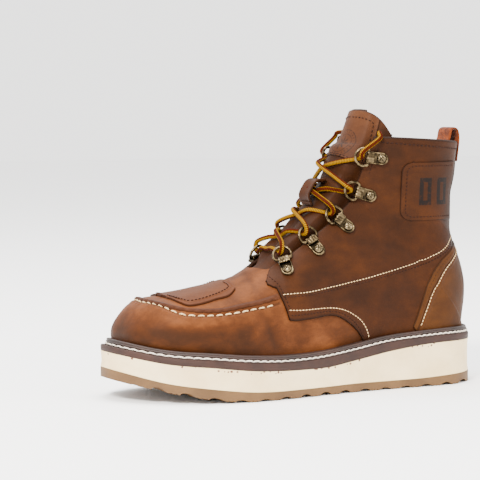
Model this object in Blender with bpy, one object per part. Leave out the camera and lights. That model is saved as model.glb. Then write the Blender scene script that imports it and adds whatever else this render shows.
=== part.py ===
import math
from functools import lru_cache

import bmesh
import bpy
import numpy as np
from mathutils import Vector

for thing in list(bpy.data.objects):
    bpy.data.objects.remove(thing, do_unlink=True)

# Driving sizes, in metres
SOLE_LENGTH = 0.305
BALL_WIDTH = 0.112
COLLAR_HEIGHT = 0.190
WALL = 0.0024
OVERLAY = 0.0013
CLEARANCE = 0.0003
PANEL_GAP = 0.0005
WELT_LIP_TOE = 0.0095
WELT_LIP_SIDE = 0.0078
WELT_LIP_HEEL = 0.0048
TOE_SPRING = 0.0160
TREAD_DEPTH = 0.0018
TREAD_PITCH = 0.0186
TREAD_GAP = 0.0026
LACE_DIAMETER = 0.0044
RING_WIRE = 0.0021
RING_WIDTH = 0.0135
PLATE_WIDTH = 0.0086
PLATE_LENGTH = 0.0150
SHEET = 0.0008

# Half-widths of the sole as shares of the ball width, a row for each share of its length
PLAN = (
    # along, lateral, medial, centre
    (0.00, 0.333, 0.333, 0.000),
    (0.10, 0.351, 0.342, 0.000),
    (0.20, 0.360, 0.338, 0.000),
    (0.30, 0.368, 0.325, 0.000),
    (0.40, 0.395, 0.320, 0.000),
    (0.50, 0.439, 0.342, 0.000),
    (0.60, 0.487, 0.390, -0.002),
    (0.70, 0.518, 0.443, -0.010),
    (0.80, 0.513, 0.478, -0.022),
    (0.90, 0.474, 0.465, -0.040),
    (1.00, 0.404, 0.421, -0.061),
)

# Heights of the sole's layers as shares of the collar height
LAYERS = (
    # along, top of outsole, top of wedge, top of strip
    (0.00, 0.043, 0.176, 0.203),
    (0.10, 0.041, 0.178, 0.208),
    (0.20, 0.034, 0.170, 0.202),
    (0.30, 0.033, 0.151, 0.190),
    (0.40, 0.034, 0.126, 0.166),
    (0.50, 0.032, 0.108, 0.148),
    (0.60, 0.032, 0.110, 0.144),
    (0.70, 0.037, 0.119, 0.152),
    (0.80, 0.055, 0.137, 0.167),
    (0.90, 0.078, 0.152, 0.180),
    (1.00, 0.122, 0.186, 0.211),
)

# The last: a row for each flat section, tilting from upright at the toe to level at the collar.
# Low and high ends are shares of sole length and collar height, half-widths shares of ball width.
LAST = (
    # name, low x, low z, high x, high z, lateral, medial, widest, low power, high power
    ("toe", 0.968, 0.000, 0.968, 0.209, 0.000, 0.000, 0.40, 1.2, 2.0),
    ("toe_wall", 0.963, 0.000, 0.962, 0.290, 0.130, 0.135, 0.30, 1.2, 2.1),
    ("toe_rise", 0.948, 0.000, 0.947, 0.345, 0.232, 0.245, 0.30, 1.2, 2.3),
    ("toe_box", 0.921, 0.000, 0.920, 0.374, 0.320, 0.325, 0.30, 1.2, 2.6),
    ("plug_front", 0.880, 0.000, 0.879, 0.388, 0.388, 0.378, 0.30, 1.2, 2.8),
    ("plug", 0.830, 0.000, 0.826, 0.392, 0.432, 0.405, 0.30, 1.2, 2.7),
    ("plug_back", 0.775, 0.000, 0.768, 0.408, 0.456, 0.405, 0.30, 1.2, 2.4),
    ("ball", 0.715, 0.000, 0.705, 0.432, 0.462, 0.392, 0.28, 1.2, 2.2),
    ("vamp", 0.650, 0.000, 0.636, 0.478, 0.446, 0.366, 0.26, 1.2, 2.0),
    ("throat", 0.585, 0.000, 0.576, 0.545, 0.422, 0.340, 0.24, 1.2, 1.9),
    ("instep_low", 0.510, 0.000, 0.532, 0.603, 0.398, 0.325, 0.24, 1.2, 1.9),
    ("instep", 0.430, 0.000, 0.500, 0.652, 0.374, 0.320, 0.26, 1.2, 1.9),
    ("instep_high", 0.345, 0.000, 0.474, 0.700, 0.350, 0.318, 0.30, 1.3, 1.9),
    ("waist", 0.255, 0.000, 0.452, 0.742, 0.334, 0.318, 0.33, 1.4, 1.9),
    ("heel_front", 0.165, 0.000, 0.434, 0.780, 0.324, 0.318, 0.36, 1.5, 1.9),
    ("heel", 0.085, 0.000, 0.423, 0.812, 0.318, 0.316, 0.36, 1.7, 1.9),
    ("heel_seat", 0.032, 0.000, 0.414, 0.840, 0.314, 0.314, 0.36, 1.9, 1.9),
    ("heel_corner", 0.0157, 0.000, 0.410, 0.852, 0.313, 0.313, 0.36, 2.0, 1.9),
    ("heel_low", 0.013, 0.275, 0.408, 0.863, 0.312, 0.312, 0.37, 2.0, 1.9),
    ("heel_mid", 0.010, 0.350, 0.403, 0.884, 0.310, 0.310, 0.38, 2.0, 1.9),
    ("counter", 0.017, 0.440, 0.398, 0.904, 0.308, 0.308, 0.40, 2.0, 1.9),
    ("counter_top", 0.038, 0.540, 0.393, 0.923, 0.306, 0.306, 0.42, 2.0, 1.95),
    ("ankle", 0.054, 0.640, 0.388, 0.942, 0.310, 0.310, 0.44, 2.0, 2.0),
    ("shaft_low", 0.054, 0.740, 0.383, 0.961, 0.318, 0.318, 0.46, 2.0, 2.0),
    ("shaft", 0.043, 0.850, 0.377, 0.983, 0.330, 0.330, 0.48, 2.0, 2.0),
    ("collar", 0.032, 0.982, 0.371, 1.010, 0.342, 0.342, 0.50, 2.0, 2.0),
    ("above", 0.022, 1.100, 0.350, 1.135, 0.350, 0.350, 0.50, 2.0, 2.0),
)
ROW = {row[0]: number for number, row in enumerate(LAST)}

# Edge of the throat in the wall, and of the panels laid on it, along the sections
THROAT = (
    # section, share up the section
    (8.24, 1.000),
    (8.34, 0.900),
    (8.55, 0.800),
    (9.30, 0.768),
    (10.3, 0.775),
    (12.3, 0.785),
    (14.7, 0.820),
    (18.5, 0.842),
    (22.4, 0.785),
    (25.0, 0.760),
)
WING = (
    # section, lower edge, upper edge
    (8.30, 0.600, 0.670),
    (8.45, 0.545, 0.715),
    (8.62, 0.490, 0.760),
    (8.94, 0.304, 0.772),
    (9.30, 0.290, 0.766),
    (10.7, 0.275, 0.772),
    (11.3, 0.215, 0.776),
    (11.7, 0.120, 0.780),
    (11.85, 0.040, 0.781),
)
COUNTER = (
    # section, front edge
    (13.5, 0.045),
    (13.84, 0.106),
    (14.16, 0.160),
    (14.53, 0.215),
    (15.0, 0.273),
    (15.6, 0.329),
    (16.3, 0.370),
    (17.0, 0.388),
    (17.7, 0.386),
    (18.38, 0.368),
    (18.94, 0.345),
    (19.56, 0.306),
    (20.06, 0.265),
    (20.62, 0.200),
    (21.2, 0.092),
)
PATCH_VAMP = (
    # section, edge
    (4.50, 0.860),
    (4.55, 0.740),
    (4.69, 0.630),
    (5.06, 0.571),
    (6.10, 0.620),
    (7.06, 0.708),
    (7.20, 0.780),
    (7.26, 0.920),
)
MOC_RIDGE = (
    # section, share up the section
    (3.36, 1.000),
    (3.42, 0.900),
    (3.55, 0.790),
    (3.75, 0.680),
    (4.02, 0.595),
    (4.44, 0.530),
    (5.19, 0.475),
    (6.00, 0.460),
    (7.06, 0.487),
    (8.18, 0.505),
)
TONGUE = (
    # section, half-width as a share down from the ridge
    (7.80, 0.200),
    (8.30, 0.290),
    (10.0, 0.310),
    (14.0, 0.270),
    (18.0, 0.250),
    (22.0, 0.300),
    (24.0, 0.330),
    (25.9, 0.330),
)
# Lacing hardware, a row for each pair from the top down
LOOPS = (
    # name, fold section, fold share, rivet section, rivet share
    ("top", 23.16, 0.772, 23.41, 0.710),
    ("upper", 18.25, 0.832, 18.88, 0.777),
    ("middle", 13.41, 0.792, 13.59, 0.729),
    ("lower", 11.12, 0.776, 11.25, 0.684),
    ("bottom", 9.31, 0.760, 9.28, 0.667),
)
# Steps of the welt's edge, from its outer foot inward
WELT_EDGE = (
    # inward, up
    (0.0000, 0.0000),
    (0.0000, 0.0014),
    (0.0010, 0.0022),
    (0.0002, 0.0031),
    (0.0010, 0.0045),
)


def smooth(xs, ys, x):
    """A soft curve through a column of a table."""
    xs = np.asarray(xs, float)
    ys = np.asarray(ys, float)
    step = np.diff(xs)
    rise = np.diff(ys) / step
    slope = np.empty_like(ys)
    slope[0], slope[-1] = rise[0], rise[-1]
    both = rise[:-1] * rise[1:] > 0
    weight = step[:-1] + step[1:]
    slope[1:-1] = (rise[:-1] * step[1:] + rise[1:] * step[:-1]) / weight
    limit = 3 * np.minimum(abs(rise[:-1]), abs(rise[1:]))
    slope[1:-1] = np.where(both, np.sign(slope[1:-1]) * np.minimum(abs(slope[1:-1]), limit), 0)
    x = np.clip(x, xs[0], xs[-1])
    k = np.clip(np.searchsorted(xs, x, side="right") - 1, 0, len(step) - 1)
    h = step[k]
    u = (x - xs[k]) / h
    near = (1 + 2 * u) * (1 - u) ** 2 * ys[k] + u * (1 - u) ** 2 * h * slope[k]
    far = u * u * (3 - 2 * u) * ys[k + 1] + u * u * (u - 1) * h * slope[k + 1]
    return near + far


def column(table, number):
    return [row[number] for row in table]


def spread(low, high, count):
    return [low + (high - low) * k / (count - 1) for k in range(count)]


def layer(x, number):
    """Height of the top of a layer of the sole at x."""
    return COLLAR_HEIGHT * smooth(column(LAYERS, 0), column(LAYERS, number), x / SOLE_LENGTH)


def ground(x):
    """Underside of the sole: flat, then rising at the toe."""
    return TOE_SPRING * np.clip((x / SOLE_LENGTH - 0.70) / 0.30, 0, 1) ** 1.6


def rounding(share):
    """How the plan closes at its two ends."""
    heel = 1 - np.clip(1 - share / 0.135, 0, 1) ** 2.05
    toe = 1 - np.clip((share - 0.69) / 0.31, 0, 1) ** 2.35
    return np.maximum(heel, 0) ** (1 / 2.05) * np.maximum(toe, 0) ** (1 / 2.35)


def plan(x, side, inset, extra=0.0):
    """Signed distance of the sole's outline from the middle, inset as a share of the welt's lip."""
    back = WELT_LIP_HEEL * inset + extra
    front = SOLE_LENGTH - WELT_LIP_TOE * inset - extra
    share = np.clip((x - back) / (front - back), 0, 1)
    along = x / SOLE_LENGTH
    width = smooth(column(PLAN, 0), column(PLAN, 1 if side > 0 else 2), along) * BALL_WIDTH
    middle = smooth(column(PLAN, 0), column(PLAN, 3), along) * BALL_WIDTH
    return middle + side * (width - WELT_LIP_SIDE * inset - extra) * rounding(share)


@lru_cache(maxsize=None)
def section(t):
    """The sizes of the last's section at t, in metres."""
    rows = range(len(LAST))
    low_x, low_z, high_x, high_z, lateral, medial, widest, low, high = (
        float(smooth(rows, column(LAST, number), t)) for number in range(1, 10))
    low_x *= SOLE_LENGTH
    bed = float(layer(low_x, 3)) + 2 * CLEARANCE
    corner = ROW["heel_corner"]
    if t > corner:
        climb = [bed / COLLAR_HEIGHT] + column(LAST, 2)[corner + 1:]
        low_z = float(smooth(rows[corner:], climb, t)) * COLLAR_HEIGHT
    else:
        low_z = bed
    high_z = max(high_z * COLLAR_HEIGHT, low_z + 0.0002)
    return (low_x, low_z, high_x * SOLE_LENGTH, high_z, lateral * BALL_WIDTH,
            medial * BALL_WIDTH, widest, low, high)


@lru_cache(maxsize=None)
def profile(t, side, count=48):
    """Half of a section as heights h from 0 to 1 and signed distances y."""
    low_x, low_z, high_x, high_z, lateral, medial, widest, low, high = section(t)
    middle = float(smooth(column(PLAN, 0), column(PLAN, 3), low_x / SOLE_LENGTH)) * BALL_WIDTH
    foot = 0.0
    if t < ROW["heel_corner"]:
        foot = (float(plan(low_x, side, 1.0)) - middle) * side
    most = max(lateral if side > 0 else medial, foot + 0.0001)
    a = np.linspace(0, math.pi / 2, count)
    rise = widest * (1 - np.cos(a)) if low > 1.85 else widest * (a / (math.pi / 2))
    grow = (1 - np.clip(1 - rise / widest, 0, 1) ** low) ** (1 / low)
    fall = widest + (1 - widest) * np.sin(a[1:])
    shut = (1 - np.clip((fall - widest) / (1 - widest), 0, 1) ** high) ** (1 / high)
    h = np.concatenate([rise, fall])
    y = np.concatenate([foot + (most - foot) * grow, most * shut])
    return h, middle + side * y


def point(t, u, side, away=0.0):
    """A point of the last: t along the sections, u from the sole or back to the ridge."""
    low_x, low_z, high_x, high_z = section(t)[:4]
    h, y = profile(t, side)
    x = low_x + h * (high_x - low_x)
    z = low_z + h * (high_z - low_z)
    run = np.concatenate([[0], np.cumsum(np.sqrt(np.diff(x) ** 2 + np.diff(y) ** 2
                                                 + np.diff(z) ** 2))])
    at = np.clip(u, 0, 1) * run[-1]
    place = np.array([np.interp(at, run, x), np.interp(at, run, y), np.interp(at, run, z)])
    if away:
        place = place + away * normal(t, u, side)
    return place


@lru_cache(maxsize=None)
def normal(t, u, side):
    """Direction out of the last."""
    d = 0.004
    du = point(t, min(u + d, 1), side) - point(t, max(u - d, 0), side)
    dt = point(min(t + 0.05, len(LAST) - 1), u, side) - point(max(t - 0.05, 0), u, side)
    out = np.cross(dt, du) * side
    return out / (np.linalg.norm(out) + 1e-12)


@lru_cache(maxsize=None)
def above_bed(t, side, height):
    """The share u at which a section stands a height over the bed of the sole."""
    for u in np.linspace(0, 0.4, 81):
        x, y, z = point(t, u, side)
        if z - float(layer(x, 3)) >= height:
            return float(u)
    return 0.0


def edge(table, t, number=1):
    """A column of an edge table, with t in its first column."""
    return float(smooth(column(table, 0), column(table, number), t))


# Sections at which the wall is drawn
UPPER_ROWS = (0, 0.4, 1, 1.5, 2, 2.5, 3, 3.6, 4.3, 5, 5.8, 6.6, 7.3, 7.9, 8.24, 8.34, 8.6, 9.1, 9.8,
              10.6, 11.4, 12.2, 13, 13.8, 14.5, 15.1, 15.6, 16, 16.4, 16.7, 17, 17.5, 18.1, 18.9,
              19.8, 20.7, 21.5, 22.3, 23.2, 24.1, 25)


def throat(t):
    return edge(THROAT, t) if t > THROAT[0][0] else 1.0


COLUMNS = 10


@lru_cache(maxsize=None)
def columns(t):
    """Shares up the section at which the wall is drawn, closer round the back of the heel."""
    even = spread(0, 1, COLUMNS)
    bend = min(max((t - ROW["heel_front"]) / 3, 0), 1) * 0.38
    return [throat(t) * (share * (1 - bend) + bend * share ** 2.0) for share in even]


@lru_cache(maxsize=None)
def drawn(t, side):
    return [point(t, u, side) for u in columns(t)]


def on_wall(t, u, side):
    """A point of the wall's flat faces, or of the last where there is no wall."""
    if t >= UPPER_ROWS[-1] or u > throat(t) + 1e-6:
        return point(t, u, side)
    k = max(n for n, row in enumerate(UPPER_ROWS) if row <= t + 1e-9)
    k = min(k, len(UPPER_ROWS) - 2)
    part = (t - UPPER_ROWS[k]) / (UPPER_ROWS[k + 1] - UPPER_ROWS[k])
    place = np.interp(u, columns(t), range(COLUMNS))
    n = min(int(place), COLUMNS - 2)
    f = place - n
    low, high = drawn(UPPER_ROWS[k], side), drawn(UPPER_ROWS[k + 1], side)
    if f <= part:
        return low[n] * (1 - part) + high[n] * (part - f) + high[n + 1] * f
    return low[n] * (1 - f) + low[n + 1] * (f - part) + high[n + 1] * part


def rows_between(low, high, *more):
    """The wall's own sections between two, with any others asked for."""
    return sorted({t for t in UPPER_ROWS if low < t < high} | {low, high} | set(more))


def held(t, low, high):
    """The wall's columns, held between two shares."""
    return [min(max(u, low), high) for u in columns(t)]


# Solid building
def material(name, colour, roughness, metallic=0.0):
    made = bpy.data.materials.new(name)
    made.use_nodes = True
    shader = made.node_tree.nodes["Principled BSDF"]
    shader.inputs["Base Color"].default_value = (*colour, 1.0)
    shader.inputs["Roughness"].default_value = roughness
    shader.inputs["Metallic"].default_value = metallic
    made.diffuse_color = (*colour, 1.0)
    return made


LEATHER = material("brown_leather", (0.205, 0.085, 0.036), 0.62)
TAN_LEATHER = material("tan_leather", (0.260, 0.115, 0.045), 0.60)
SUEDE = material("orange_suede", (0.360, 0.115, 0.025), 0.90)
FOAM = material("cream_rubber", (0.850, 0.760, 0.590), 0.70)
GUM = material("gum_rubber", (0.440, 0.310, 0.165), 0.75)
STRIP = material("brown_rubber", (0.225, 0.125, 0.085), 0.70)
WELT = material("dark_welt", (0.085, 0.042, 0.032), 0.60)
LINING = material("grey_lining", (0.130, 0.120, 0.110), 0.90)
METAL = material("aged_nickel", (0.430, 0.360, 0.260), 0.38, 1.0)
CORD = material("yellow_cord", (0.780, 0.420, 0.030), 0.80)


def finish(name, bm, mat):
    """Make an object from a closed mesh, with its faces out."""
    bmesh.ops.recalc_face_normals(bm, faces=bm.faces)
    if bm.calc_volume(signed=True) < 0:
        bmesh.ops.reverse_faces(bm, faces=bm.faces)
    mesh = bpy.data.meshes.new(name)
    bm.to_mesh(mesh)
    bm.free()
    mesh.materials.append(mat)
    made = bpy.data.objects.new(name, mesh)
    bpy.context.collection.objects.link(made)
    return made


def skin(name, sheets, thick, mat):
    """A wall from sheets of points, each with how far its outer face stands off the last."""
    bm = bmesh.new()
    away = bm.verts.layers.float.new("away")
    for points, offsets, side in sheets:
        grid = []
        for row, distances in zip(points, offsets):
            line = []
            for place, distance in zip(row, distances):
                vert = bm.verts.new(place)
                vert[away] = distance
                line.append(vert)
            grid.append(line)
        for a, b in zip(grid, grid[1:]):
            for k in range(len(a) - 1):
                for corners in ((a[k], b[k], b[k + 1]), (a[k], b[k + 1], a[k + 1])):
                    bm.faces.new(corners[::side])
    bmesh.ops.remove_doubles(bm, verts=bm.verts, dist=0.00005)
    bmesh.ops.dissolve_degenerate(bm, edges=bm.edges, dist=0.00002)
    bm.normal_update()
    outer = {}
    inner = {}
    solid = bmesh.new()
    for vert in bm.verts:
        out = vert.normal.copy()
        if vert.co.z < float(layer(vert.co.x, 3)) + 4 * CLEARANCE:
            out.z = 0
            out.normalize()
        outer[vert] = solid.verts.new(vert.co + out * vert[away])
        inner[vert] = solid.verts.new(vert.co + out * (vert[away] - thick))
    for face in bm.faces:
        solid.faces.new([outer[v] for v in face.verts])
        solid.faces.new([inner[v] for v in reversed(face.verts)])
    for rim in bm.edges:
        if len(rim.link_faces) == 1:
            a, b = rim.verts
            solid.faces.new((outer[a], outer[b], inner[b], inner[a]))
    bm.free()
    return finish(name, solid, mat)


def sheet(rows, side, away):
    """Points of the wall for rows of (t, shares), with how far each stands off it."""
    points = []
    offsets = []
    for t, shares in rows:
        line = [on_wall(t, u, side) for u in shares]
        distances = [away(t, u) if callable(away) else away for u in shares]
        points.append(line)
        offsets.append(distances)
    return points, offsets, side


def plate(name, mat, stations, rings):
    """A layer of the sole: rings of (inset, extra, height at x) from its underside up."""
    bm = bmesh.new()
    loops = []
    for inset, extra, height in rings:
        back = WELT_LIP_HEEL * inset + extra
        front = SOLE_LENGTH - WELT_LIP_TOE * inset - extra
        line = []
        for share in stations:
            x = back + share * (front - back)
            pair = []
            for side in (1, -1):
                y = float(plan(x, side, inset, extra))
                pair.append(bm.verts.new((x, y, float(height(x, share)))))
            line.append(pair)
        loops.append(line)
    for k in range(len(stations) - 1):
        for low, high in zip(loops, loops[1:]):
            bm.faces.new((low[k + 1][0], low[k][0], high[k][0], high[k + 1][0]))
            bm.faces.new((low[k][1], low[k + 1][1], high[k + 1][1], high[k][1]))
        base, top = loops[0], loops[-1]
        bm.faces.new((base[k][0], base[k + 1][0], base[k + 1][1], base[k][1]))
        bm.faces.new((top[k + 1][0], top[k][0], top[k][1], top[k + 1][1]))
    bmesh.ops.remove_doubles(bm, verts=bm.verts, dist=0.00002)
    return finish(name, bm, mat)


def closing(count):
    """Shares along the sole, closer together towards its ends."""
    return [0.5 - 0.5 * math.cos(math.pi * k / (count - 1)) for k in range(count)]


def tube(name, path, radius, mat, closed=False, faces=6):
    """A round bar along a path of points."""
    bm = bmesh.new()
    points = [Vector(place) for place in path]
    count = len(points)
    rings = []
    up = None
    for k, place in enumerate(points):
        ahead = points[(k + 1) % count] if closed or k + 1 < count else place
        behind = points[k - 1] if closed or k else place
        along = (ahead - behind).normalized()
        if up is None:
            up = along.orthogonal().normalized()
        up = (up - along * up.dot(along)).normalized()
        out = along.cross(up)
        ring = []
        for n in range(faces):
            angle = 2 * math.pi * n / faces
            ring.append(bm.verts.new(place + radius * (math.cos(angle) * up + math.sin(angle) * out)))
        rings.append(ring)
    pairs = list(zip(rings, rings[1:]))
    for a, b in pairs:
        for n in range(faces):
            m = (n + 1) % faces
            bm.faces.new((a[n], a[m], b[m], b[n]))
    if closed:
        a, b = rings[-1], rings[0]
        shift = min(range(faces), key=lambda s: sum(
            (a[n].co - b[(n + s) % faces].co).length for n in range(faces)))
        for n in range(faces):
            m = (n + 1) % faces
            bm.faces.new((a[n], a[m], b[(m + shift) % faces], b[(n + shift) % faces]))
    else:
        bm.faces.new(rings[0][::-1])
        bm.faces.new(rings[-1])
    return finish(name, bm, mat)


# Sole
WELT_HEIGHT = WELT_EDGE[-1][1]
ENDS = closing(30)


def tread(x, share):
    """Underside with the grooves between its lugs."""
    return float(ground(x)) + (TREAD_DEPTH if share in GROOVED else 0.0)


GROOVED = set()
tread_stations = [share for share in ENDS if share < 0.05 or share > 0.965]
start = 0.055
while start < 0.955:
    gap = TREAD_GAP / SOLE_LENGTH
    step = TREAD_PITCH / SOLE_LENGTH
    sides = (start, start + 0.0007, start + gap, start + gap + 0.0007)
    GROOVED.update(sides[1:3])
    tread_stations += sides
    tread_stations.append(start + gap + (step - gap) / 2)
    start += step
tread_stations.sort()
plate("outsole", GUM, tread_stations, (
    (0.0, 0.0, tread),
    (0.0, 0.0, lambda x, share: layer(x, 1)),
))
plate("wedge_midsole", FOAM, ENDS, (
    (0.0, 0.0, lambda x, share: layer(x, 1) + CLEARANCE),
    (0.0, 0.0006, lambda x, share: layer(x, 1) + 0.003),
    (0.0, 0.0006, lambda x, share: layer(x, 2) - 0.003),
    (0.0, 0.0, lambda x, share: layer(x, 2)),
))
plate("midsole_strip", STRIP, ENDS, (
    (0.0, 0.0, lambda x, share: layer(x, 2) + CLEARANCE),
    (0.0, 0.0, lambda x, share: layer(x, 3) - 0.0008),
    (0.0, 0.0008, lambda x, share: layer(x, 3)),
))


def outline(inset, extra):
    """The sole's outline as a closed row of close points."""
    back = WELT_LIP_HEEL * inset + extra
    front = SOLE_LENGTH - WELT_LIP_TOE * inset - extra
    line = []
    for side, shares in ((1, closing(300)), (-1, closing(300)[::-1])):
        for share in shares:
            x = back + share * (front - back)
            line.append((x, float(plan(x, side, inset, extra))))
    return np.array(line)


def welt_line(inward):
    """The welt's edge: close to the sole's along the sides, drawn in at toe and heel."""
    line = outline(0.06, inward)
    share = line[:, 0] / SOLE_LENGTH
    toe = np.clip((share - 0.88) / 0.12, 0, 1) ** 2
    heel = np.clip((0.07 - share) / 0.07, 0, 1) ** 2
    return line + (outline(0.46, inward) - line) * (toe + heel)[:, None]


def welt():
    """A strip round the upper, with a step and a rib along its edge."""
    rim = outline(1.0, 0.0)
    tangent = np.roll(rim, -3, 0) - np.roll(rim, 3, 0)
    out = np.stack([tangent[:, 1], -tangent[:, 0]], 1)
    out /= np.linalg.norm(out, axis=1)[:, None]
    out *= np.sign((out * (rim - rim.mean(0))).sum())
    reach = np.zeros(len(rim))
    for side in (1, -1):
        for t in np.linspace(0, 18.4, 185):
            for u in np.linspace(0, 0.12, 13):
                place = on_wall(float(t), float(u), side)
                if place[2] < float(layer(place[0], 3)) + WELT_HEIGHT + 0.0008:
                    near = np.argmin(((rim - place[:2]) ** 2).sum(1))
                    reach[near] = max(reach[near], (place[:2] - rim[near]) @ out[near])
    wide = np.max([np.roll(reach, n) for n in range(-14, 15)], axis=0)
    lines = [welt_line(inward) for inward, up in WELT_EDGE]
    bm = bmesh.new()
    rows = []
    for k in range(0, len(rim), 12):
        spot = rim[k] + out[k] * (wide[k] + 0.0007)
        aim = rim[k] + out[k] * WELT_LIP_SIDE
        row = []
        for line, (inward, up) in zip(lines, WELT_EDGE):
            near = line[np.argmin(((line - aim) ** 2).sum(1))]
            row.append((*near, float(layer(near[0], 3)) + CLEARANCE + up))
        bed = float(layer(spot[0], 3)) + CLEARANCE
        row.append((*spot, bed + WELT_HEIGHT))
        row.append((*spot, bed))
        rows.append([bm.verts.new(place) for place in row])
    for a, b in zip(rows, rows[1:] + rows[:1]):
        for k in range(len(a)):
            m = (k + 1) % len(a)
            bm.faces.new((a[k], b[k], b[m], a[m]))
    bmesh.ops.remove_doubles(bm, verts=bm.verts, dist=0.00002)
    return finish("welt", bm, WELT)


welt()
plate("insole", LINING, closing(26), (
    (1.0, WALL + 0.0016, lambda x, share: layer(x, 3) + CLEARANCE),
    (1.0, WALL + 0.0012, lambda x, share: layer(x, 3) + 0.0040),
))

# Upper
def wall():
    sheets = []
    for side in (1, -1):
        rows = [(t, columns(t)) for t in UPPER_ROWS]
        sheets.append(sheet(rows, side, 0.0))
    return skin("upper", sheets, WALL, LEATHER)


wall()

# Panels laid on the upper
LAID = PANEL_GAP + OVERLAY
WELT_TOP = WELT_HEIGHT + 0.0013
STAY = ROW["counter_top"] + 0.2
STAY_SHARE = 0.085
SEAM = 0.006


def quarter_edges(t, side):
    foot = above_bed(t, side, WELT_TOP + 0.0004) if t < 18 else 0
    if t < WING[-1][0]:
        low = max(edge(WING, t), foot)
        high = edge(WING, t, 2)
    else:
        low = foot
        if t > COUNTER[0][0] - 0.02:
            low = max(foot + 0.024, edge(COUNTER, t) + SEAM) if t < STAY else STAY_SHARE + SEAM
        high = edge(THROAT, t) - 0.002
    return low, min(high, edge(THROAT, t) - 0.002)


for side, name in ((1, "lateral"), (-1, "medial")):
    rows = []
    for t in rows_between(8.30, 24.95, 8.45, 8.75, 8.92, 11.75, 11.85, 13.5, 14.15, 19.35,
                          20.25, 20.45, 20.95, 21.15, 21.27):
        low, high = quarter_edges(t, side)
        rows.append((t, held(t, low, high)))
    skin("quarter_" + name, [sheet(rows, side, LAID)], OVERLAY, LEATHER)

sheets = []
for side in (1, -1):
    rows = []
    for t in rows_between(13.6, 21.15, 14.15, 14.8, 15.35, 17.25, 19.35, 20.25, 20.45, 20.95):
        low = above_bed(t, side, WELT_TOP + 0.0002) if t < 18 else 0
        rows.append((t, held(t, low, max(edge(COUNTER, t), low + 0.010))))
    sheets.append(sheet(rows, side, LAID))
skin("counter", sheets, OVERLAY, TAN_LEATHER)

sheets = []
for side in (1, -1):
    rows = [(t, held(t, 0, STAY_SHARE)) for t in rows_between(STAY + 0.06, 24.95)]
    sheets.append(sheet(rows, side, LAID + 0.0003))
skin("backstay", sheets, OVERLAY + 0.0003, LEATHER)

sheets = []
for side in (1, -1):
    rows = [(t, held(t, edge(PATCH_VAMP, t), 1))
            for t in rows_between(4.50, 7.26, 4.60, 4.78, 6.95, 7.15, 7.22)]
    sheets.append(sheet(rows, side, LAID))
skin("vamp_patch", sheets, OVERLAY, TAN_LEATHER)


def moc_ridge():
    path = [(8.18, 0.505, 1)] + [
        (float(t), edge(MOC_RIDGE, t), 1) for t in (7.6, 7.06, 6.5, 6, 5.6, 5.19, 4.8, 4.44, 4.2)]
    path += [(t, u, 1) for t, u in MOC_RIDGE[4:0:-1]]
    path += [(MOC_RIDGE[0][0], 1.0, 1)]
    path += [(t, u, -1) for t, u, side in path[-2::-1]]
    bm = bmesh.new()
    rings = []
    places = [Vector(point(t, u, side)) for t, u, side in path]
    for k, (t, u, side) in enumerate(path):
        out = Vector(normal(t, min(u, 0.985), side))
        if u > 0.99:
            out.y = 0
            out.normalize()
        along = (places[min(k + 1, len(path) - 1)] - places[max(k - 1, 0)]).normalized()
        across = along.cross(out).normalized()
        base = places[k] + out * CLEARANCE
        ring = []
        for wide, high in ((-0.0022, 0.0), (-0.0014, 0.0011), (0.0, 0.0016),
                           (0.0014, 0.0011), (0.0022, 0.0)):
            ring.append(bm.verts.new(base + across * wide + out * (high + 0.0002)))
        rings.append(ring)
    for a, b in zip(rings, rings[1:]):
        for n in range(5):
            m = (n + 1) % 5
            bm.faces.new((a[n], a[m], b[m], b[n]))
    bm.faces.new(rings[0][::-1])
    bm.faces.new(rings[-1])
    return finish("moc_seam", bm, LEATHER)


moc_ridge()


def side_patch(side, name):
    """A patch on the shaft, drawn from the side as a rectangle with soft corners."""
    front = 0.250 * SOLE_LENGTH
    back = 0.088 * SOLE_LENGTH
    low = 0.676 * COLLAR_HEIGHT
    high = 0.910 * COLLAR_HEIGHT
    corner = 0.022 * SOLE_LENGTH
    rows = []
    ts = np.linspace(18.5, 25, 66)
    lines = [[on_wall(t, columns(t)[n], side) for t in ts] for n in range(COLUMNS)]
    heights = (low, low + 0.25 * corner, low + corner, (2 * low + high) / 3, (low + 2 * high) / 3,
               high - corner, high - 0.25 * corner, high)
    for z in heights:
        level = []
        for line in lines:
            rise = [place[2] for place in line]
            level.append([np.interp(z, rise, [place[n] for place in line]) for n in range(2)])
        near = max(low + corner - z, z - (high - corner), 0) / corner
        ahead = front - corner * (1 - math.sqrt(1 - near * near))
        xs = [place[0] for place in level]
        ys = [place[1] for place in level]
        held_xs = [min(max(x, back), ahead) for x in xs]
        rows.append([(x, np.interp(x, xs, ys), z) for x in held_xs])
    offsets = [[LAID + PANEL_GAP + 0.0010] * COLUMNS] * len(rows)
    return skin("side_patch_" + name, [(rows, offsets, side)], 0.0010, LEATHER)


side_patch(1, "lateral")
side_patch(-1, "medial")


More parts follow.
